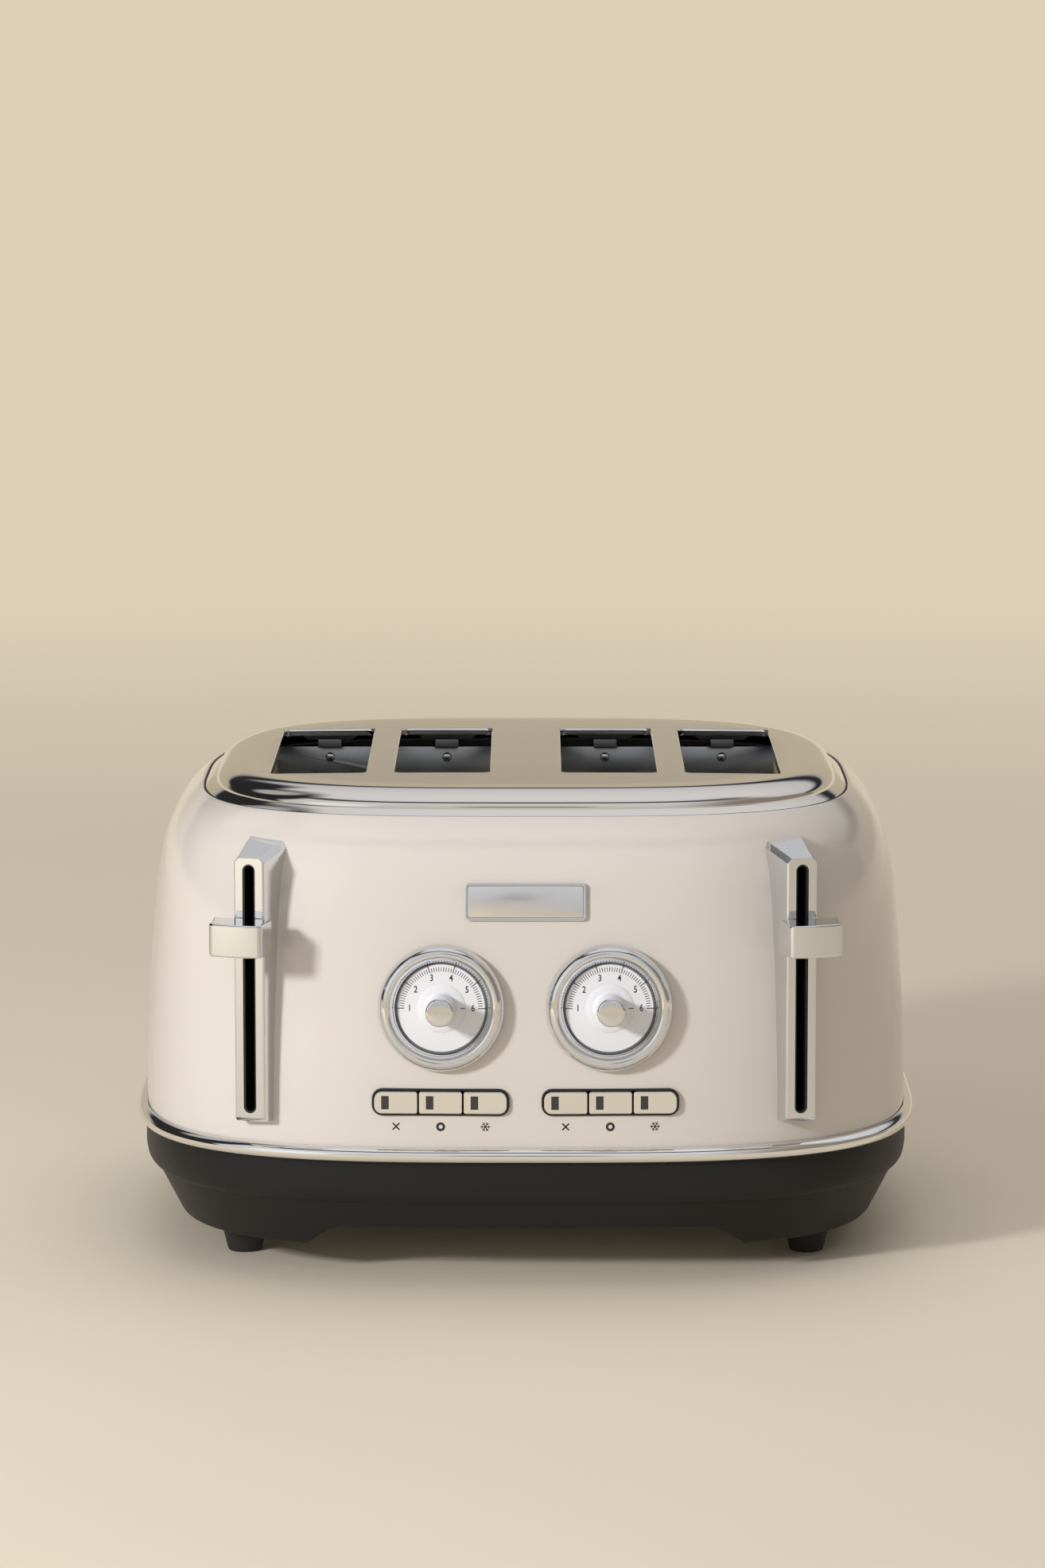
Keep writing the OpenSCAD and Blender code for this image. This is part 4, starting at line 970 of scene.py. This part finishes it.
sleeve = turned("bezel_sleeve", [(dial_face_r - mm, face_back - 1.2 * mm),
                                 (dial_hole_r, face_back - 1.2 * mm),
                                 (dial_hole_r, 1.2 * mm), (bezel_in_r, 1.2 * mm), (bezel_in_r, face_back),
                                 (dial_face_r - mm, face_back)], closed="hoop", steps=96)
face_r = dial_face_r + 0.2 * mm
face = turned("dial_plate", [(shaft_r + 0.3 * mm, face_back), (bezel_in_r - 0.05 * mm, face_back),
                             (bezel_in_r - 0.05 * mm, face_back + 2 * mm), (face_r, face_back + 2 * mm),
                             (face_r, face_top - 0.25 * mm), (face_r - 0.25 * mm, face_top),
                             (shaft_r + 0.3 * mm, face_top)], closed="hoop", steps=96)
# The ring round the face, coloured dark as painted shade for the groove between face and bezel.
groove_shade_ring = turned("painted_groove_shade", off(face_r, face_back, (0.02, 2)) + off(bezel_in_r, face_back, (-0.03, 2))
               + off(bezel_in_r, face_top, (-0.03, -0.3), (-0.2, -0.1))
               + off(face_r, face_top, (0.15, -0.1), (0.02, -0.2)), closed="hoop", steps=96)
smooth(face)
smooth(groove_shade_ring)


def ink_line(name, inner, outer, width, degrees, z):
    """A printed radial line between two radii."""
    line = block(name, (inner, -width / 2, z), (outer, width / 2, z + 0.03 * mm))
    return placed(line, spun(degrees))


def numeral(figure, x, y, tall):
    """A printed figure, made a mesh before it is put in its place."""
    put_down()
    bpy.ops.object.text_add(location=(0, 0, 0))
    text = bpy.context.object
    text.data.body = figure
    text.data.align_x, text.data.align_y = "CENTER", "CENTER"
    text.data.size = tall * 1.42
    text.data.extrude = 0.015 * mm
    text.data.offset = 0.06 * mm
    bpy.ops.object.convert(target="MESH")
    pick_up(text, "EDIT")
    settle()
    return placed(text, at(x, y, face_top + 0.015 * mm) @ Matrix.Diagonal((0.84, 1, 1, 1)))


marks = []
for step in range(51):
    long_line = step % 10 == 0
    marks.append(ink_line("tick_%d" % step, 14.6 * mm, (18.2 if long_line else 16.3) * mm,
                          (0.36 if long_line else 0.27) * mm, 180 - 3.6 * step, face_top))
figures_r, figure_h = in_mm(12.5, 2.6)
for count in range(6):
    turn = math.radians(180 - 36 * count)
    marks.append(numeral(str(count + 1), figures_r * math.cos(turn), figures_r * math.sin(turn),
                         figure_h))
marks = joined("dial_print", marks)
dress(marks, ink)

base_r, disc_z = 9.6 * mm, face_top + 0.08 * mm
hub = turned("dial_hub", off(shaft_r, disc_z, (0.02, 0))
             + off(base_r, disc_z, (-0.15, 0), (0, 0.06), (-0.1, 0.14)) + off(stem_r, disc_z, (2.2, 0.2))
             + [(stem_r + 0.75 * mm + 1.4 * mm * (1 + u), disc_z + 0.2 * mm + 1.4 * mm * (1 + v))
                for u, v in arc(1, 265, 190, 7)]
             + [(stem_r + 0.5 * mm, 8 * mm), (stem_r, dial_tip - 2 * mm),
                (shaft_r + 0.02 * mm, dial_tip - 2 * mm)], closed="hoop", steps=96)
smooth(hub, 40)
pointer = ink_line("pointer_line", 6.6 * mm, 9.4 * mm, 0.34 * mm, 0, disc_z + 0.16 * mm)
dial_cap = turned("dial_cap", off(stem_r, dial_tip, (0, -6.9))
                  + off(cap_r, dial_tip, (-0.15, -6.9), (0, -6.6), (0, -1.1))
                  + [(cap_r - 1.1 * mm + u, dial_tip - 1.1 * mm + v) for u, v in arc(1.1 * mm, 8, 86, 8)]
                  + off(0, dial_tip, (2.2, 0.055), (0.02, 0.075), (0.02, -2))
                  + off(stem_r, dial_tip, (0, -2)),
                  closed="hoop", steps=96)
smooth(dial_cap, 32)
for part, look in ((face, white_plastic), (groove_shade_ring, painted_shade_plastic), (hub, white_plastic),
                   (pointer, ink), (dial_cap, chrome)):
    dress(part, look)

for side, turn in (("left", -1), ("right", 1)):
    place = on_front(turn * dial_x, dial_z)
    ring = placed(copy_of(bezel, "bezel_ring"), place)
    seated(ring)
    ring = joined("bezel_fitted_" + side, [ring, copy_of(sleeve, "sleeve", place)])
    smooth(ring, 30)
    dress(ring, chrome, "housing", "chrome", "dial_bezel_" + side)
    fitted_part(face, side, place, "housing", "white", "dial_face_" + side)
    fitted_part(groove_shade_ring, side, place, "housing", "black")
    fitted_part(marks, side, place, "housing", "black")
    fitted_part(hub, side, place, "dial_" + side, "white", "dial_pointer_" + side)
    fitted_part(pointer, side, place, "dial_" + side, "black")
    fitted_part(dial_cap, side, place, "dial_" + side, "chrome", "dial_cap_" + side)
    repaint("dial_shaft_" + side, zinc_plate)
throw_away(bezel, sleeve, face, groove_shade_ring, marks, hub, pointer, dial_cap)

# ---- Push buttons ----
# Under each dial, a row of three chromed buttons in a black frame. Each has a dark window at its
# left, a flange that keeps it in, and a plunger to its switch. The signs below are printed.
button_out, button_back = in_mm(2.2, 5)
frame_rim, window_w, window_h, window_in, window_deep, lens_gap = in_mm(1, 3.1, 5.4, 4.3, 0.45, 0.06)
satin_chrome = finish("satin_chrome", (0.84, 0.835, 0.80), 0.10, metallic=1.0, mottle=(0.015, 12),
                      grain=(0.0015, 1.5), swing=0.03)
window_dark = finish("window_lens", (0.030, 0.030, 0.032), 0.22, mottle=(0.10, 2),
                     grain=(0.002, 0.5))


def key_cap(name, width, left_r, right_r):
    """A button about the origin, facing +Z, with its own corner radius at each end."""
    cap = block(name, (-width / 2, -button_h / 2, -button_back), (width / 2, button_h / 2, button_out))
    for end, r in ((-1, left_r), (1, right_r)):
        pick_up(cap, "EDIT")
        bevel_where(lambda edge: edge.calc_length() > 6 * mm and span(edge, 1) < 0.1 * mm
                    and all(v.co.x * end > 0.45 * width for v in edge.verts), r, 6 if r > mm else 2)
    pick_up(cap, "EDIT")
    bevel_where(lambda edge: all(v.co.z > button_out - 0.05 * mm for v in edge.verts), 0.5 * mm, 4)
    window_x = -width / 2 + window_in
    pocket = block("pocket", (window_x - window_w / 2, -window_h / 2, button_out - window_deep),
                   (window_x + window_w / 2, window_h / 2, button_out + mm))
    boolean(cap, pocket)
    keeper = block("keeper", (-width / 2 + mm, -button_h / 2 - 1.2 * mm, -button_back),
                   (width / 2 - mm, button_h / 2 + 1.2 * mm, -button_back + 1.2 * mm))
    round_edges(keeper, 0.2 * mm)
    smooth(cap, 30)
    return joined(name, [cap, keeper]), window_x


key_row = []
for kind, left_r, right_r in (("cancel", 3 * mm, 0.8 * mm), ("bagel", 0.8 * mm, 0.8 * mm),
                              ("defrost", 0.8 * mm, 3 * mm)):
    cap, window_x = key_cap(kind + "_key", button_w, left_r, right_r)
    dress(cap, satin_chrome)
    lens = block("window", (window_x - window_w / 2 + lens_gap, -window_h / 2 + lens_gap,
                            button_out - window_deep),
                 (window_x + window_w / 2 - lens_gap, window_h / 2 - lens_gap, button_out - 0.12 * mm))
    round_edges(lens, 0.1 * mm)
    dress(lens, window_dark)
    key_row.append((kind, cap, lens))
board_y = front_y(0, dial_z) + 18 * mm
plunger_l = board_y - 4.2 * mm - front_y(button_x, button_z) - 2.3 * mm
plunger = turned("plunger", [(1.2 * mm, -plunger_l), (1.6 * mm, -plunger_l + 0.4 * mm),
                             (1.6 * mm, -4 * mm)], steps=32)
smooth(plunger)

frame_w, frame_h = row_w + 2 * frame_rim, button_h + 2 * frame_rim
surround = rounded_plate("surround", frame_w, frame_h, 4.2 * mm, z=-2.5 * mm)
rise(3.1 * mm)
step_in((0.07 * mm, 0.13 * mm), (0.13 * mm, 0.07 * mm))
settle()
sleeve = rounded_plate("sleeve", frame_w - 0.5 * mm, frame_h - 0.5 * mm, 3.7 * mm, z=-3 * mm)
rise(3.2 * mm)
settle()
for part in (surround, sleeve):
    opening = rounded_plate("opening", row_w + 0.6 * mm, button_h + 0.6 * mm, 3.3 * mm, z=-8 * mm)
    rise(16 * mm)
    settle()
    boolean(part, opening)


def printed_bar(low_x, high_x, half_w):
    """A printed bar that lies along X."""
    return block("bar", (low_x, -half_w, 0), (high_x, half_w, 0.03 * mm))


def cross_sign():
    """Two crossed bars."""
    return [placed(printed_bar(-1.9 * mm, 1.9 * mm, 0.3 * mm), spun(turn)) for turn in (45, -45)]


def ring_sign():
    """A ring with a round hole."""
    return [turned("ring", off(0, 0, (0.8, 0), (1.8, 0), (1.8, 0.03), (0.8, 0.03)),
                   closed="hoop", steps=48)]


def flake_sign():
    """Six arms, each with a small fork."""
    arms = []
    for turn in range(0, 360, 60):
        barbs = [placed(printed_bar(0, 0.75 * mm, 0.13 * mm), at(1.05 * mm, 0, 0) @ spun(tilt))
                 for tilt in (55, -55)]
        arms.append(placed(joined("arm", [printed_bar(0, 2.0 * mm, 0.17 * mm)] + barbs), spun(turn)))
    return arms


sign_drop = 9.9 * mm
for side, turn in (("left", -1), ("right", 1)):
    place = on_front(turn * button_x, button_z)
    rim_part = placed(copy_of(surround, "rim_part"), place)
    seated(rim_part)
    frame_piece = joined("frame_fitted_" + side, [rim_part, copy_of(sleeve, "sleeve_part", place)])
    smooth(frame_piece, 30)
    dress(frame_piece, black_plastic, "housing", "black", "button_frame_" + side)
    for (kind, cap, lens), x, sign in zip(key_row, (-button_pitch, 0, button_pitch),
                                          (cross_sign, ring_sign, flake_sign)):
        here = place @ at(x, 0, 0)
        button = "%s_button_%s" % (kind, side)
        key = joined("%s_key_%s" % (kind, side),
                     [copy_of(cap, "key", here), copy_of(plunger, "rod", here)])
        even_out(assigned(key, button, "chrome", button))
        assigned(copy_of(lens, "%s_window_%s" % (kind, side), here), button, "black")
        mark = joined("%s_sign_%s" % (kind, side), sign())
        placed(mark, on_front(turn * button_x + x, button_z - sign_drop))
        dress(mark, ink, "housing", "black")
throw_away(surround, sleeve, plunger, *[part for kind, *parts in key_row for part in parts])

# ---- Heating chambers ----
# Two boxes of plated sheet steel with mica heater cards between the slots, each wound on both
# faces with a flat resistance ribbon. Wire cages close on the slice as it goes down, and the
# lifters carry it. The end plates are dimpled under each slot's tongue to stiffen them.
chamber_steel = finish("chamber_steel", (0.40, 0.43, 0.45), 0.30, metallic=1.0, mottle=(0.16, 14),
                       grain=(0.012, 2.5), swing=0.09)
bright_wire = finish("bright_wire", (0.62, 0.62, 0.63), 0.20, metallic=1.0, mottle=(0.06, 6),
                     grain=(0.004, 0.8), swing=0.06)
mica = finish("mica_sheet", (0.42, 0.34, 0.23), 0.42, mottle=(0.22, 6), grain=(0.02, 1.2),
              swing=0.10)
ribbon_metal = finish("heater_ribbon", (0.35, 0.31, 0.28), 0.38, metallic=1.0, mottle=(0.18, 5),
                      grain=(0.004, 0.8))
dimple_form = off(0, 0, (2.15, -0.2), (2.0, 0.15), (1.6, 0.5), (1.0, 0.72), (0.02, 0.8))
for side, turn in (("left", -1), ("right", 1)):
    for end, facing in (("front", -1), ("rear", 1)):
        refine("end_plate_%s_%s" % (end, side), "end_sheet_%s_%s" % (end, side), chamber_steel,
               "housing", "zinc", 0.12 * mm)
        for x in slot_xs:
            dimple = turned("dimple", dimple_form, steps=32)
            placed(dimple, at(turn * x, facing * plate_y, chamber_top - 4.6 * mm)
                   @ Matrix.Rotation(facing * math.pi / 2, 4, "X"))
            smooth(dimple, 60)
            dress(dimple, bright_wire, "housing", "zinc")
            dimple.name = "dimple_%s_%s_%d" % (end, side, round(x / mm))
    refine("bread_lifters_" + side, "lifter_rack_" + side, bright_wire, "lever_" + side, "wire", 0.3 * mm)
    for cage in ("a", "b"):
        repaint("bread_guides_%s_%s" % (side, cage), bright_wire)
refine("heat_shields", "shield_sheets", chamber_steel, "housing", "zinc", 0.12 * mm)
refine("heater_cards", "mica_cards", mica, "housing", "mica", 0.1 * mm)
card_xs = [slots_from - 3.6 * mm, slots_from + slot_w + slots_apart / 2,
           slots_from + 2 * slot_w + slots_apart + 3.6 * mm]
ribbon = block("ribbon", (0.5 * mm, -plate_y + 4 * mm, 58 * mm), (0.72 * mm, plate_y - 4 * mm, 59.6 * mm))
modified(ribbon, "ARRAY", count=16, use_relative_offset=False, use_constant_offset=True,
         constant_offset_displace=(0, 0, 7.4 * mm))
dress(ribbon, ribbon_metal)
for side, turn in (("left", -1), ("right", 1)):
    for k, x in enumerate(card_xs):
        for facing, flip in (("out", Matrix.Identity(4)), ("in", mirror_x)):
            assigned(copy_of(ribbon, "ribbon_%s_%d_%s" % (side, k, facing), at(turn * x, 0, 0) @ flip),
                     "housing", "zinc")
throw_away(ribbon)

# ---- Carriages, springs and magnets ----
# A plated carriage slides on a steel rod at the front of each chamber, pulled up by a coil spring
# hooked to the rod's bracket. A wound electromagnet holds it down while the bread toasts.
copper_wire = finish("copper_winding", (0.62, 0.30, 0.14), 0.30, metallic=1.0, mottle=(0.10, 4),
                     grain=(0.02, 0.4), streak=(1, 1, 6), swing=0.06)
rod_y = -(plate_y + 20.5 * mm)
rod_x = lever_x - (rod_y - lever_face_y) / math.cos(lever_yaw) * math.sin(lever_yaw)
bar_top, bracket_z = 119 * mm, chamber_top - 15 * mm
spring_r, wire_r, turns = 4 * mm, 0.7 * mm, 16
spring_x, spring_y = rod_x - 16 * mm, -(plate_y + 9 * mm)
for side, turn in (("left", -1), ("right", 1)):
    refine("carriage_" + side, "carriage_block_" + side, zinc_plate, "lever_" + side, "zinc", 0.3 * mm)
    repaint("carriage_rod_" + side, bright_wire)
    refine("electromagnet_" + side, "magnet_frame_" + side, zinc_plate, "housing", "copper", 0.25 * mm)
    put_down()
    bpy.ops.mesh.primitive_circle_add(vertices=10, radius=wire_r, location=(spring_r - wire_r, 0, 0),
                                      rotation=(math.pi / 2, 0, 0))
    spring = modified(named("coil_spring_" + side), "SCREW", angle=2 * math.pi, iterations=turns,
                      steps=24, render_steps=24, screw_offset=(bracket_z - bar_top - 2 * wire_r) / turns)
    pick_up(spring, "EDIT")
    choose_parts("edges", lambda edge: edge.is_boundary)
    bpy.ops.mesh.fill_holes(sides=0)
    settle()
    placed(spring, at(turn * spring_x, spring_y, bar_top + wire_r))
    smooth(spring, 60)
    dress(spring, bright_wire)
    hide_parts("carriage_spring_" + side)
    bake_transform(spring)
    magnet_y = -(plate_y + 9 * mm) + mm
    winding = turned("winding", [(4.05 * mm, 47 * mm), (4.9 * mm, 47 * mm)]
                     + [(5.5 * mm + 0.25 * mm * (k % 2), (47.4 + 0.5 * k) * mm) for k in range(18)]
                     + [(4.9 * mm, 56.4 * mm), (4.05 * mm, 56.4 * mm)], closed="hoop", steps=48)
    placed(winding, at(turn * sum(slot_xs) / 2, magnet_y, 0))
    winding.name = winding.data.name = "magnet_winding_" + side
    smooth(winding, 35)
    dress(winding, copper_wire, "housing", "copper")

# ---- Crumb trays ----
# Two shallow steel trays slide out at the back, each with a charcoal front and a pull bar.
tray_steel = finish("tray_steel", (0.70, 0.69, 0.67), 0.28, metallic=1.0, mottle=(0.05, 30),
                    grain=(0.006, 0.6), streak=(0.04, 1, 1))
for side in ("left", "right"):
    tray = "crumb_tray_" + side
    refine(tray, "tray_pan_" + side, tray_steel, tray, "stainless", 0.15 * mm)
    refine("crumb_tray_handle_" + side, "tray_pull_" + side, charcoal_plastic, tray,
           "charcoal", 0.7 * mm, 3)

# ---- Control boards ----
# Behind each dial stands a lacquered board with its switches, relay and capacitor. The control
# behind the dial is a black moulded potentiometer.
green_board = finish("green_lacquer", (0.03, 0.17, 0.07), 0.30, mottle=(0.12, 5), grain=(0.01, 1))
for side in ("left", "right"):
    refine("control_board_" + side, "board_fitted_" + side, green_board, "housing", "board", 0.2 * mm)
    refine("potentiometer_" + side, "control_pot_" + side, black_plastic, "housing", "black", 0.3 * mm)


# ---- Clearing up ----
# The body form used for seating is thrown away, and nothing is left selected.
throw_away(body_form)
put_down()
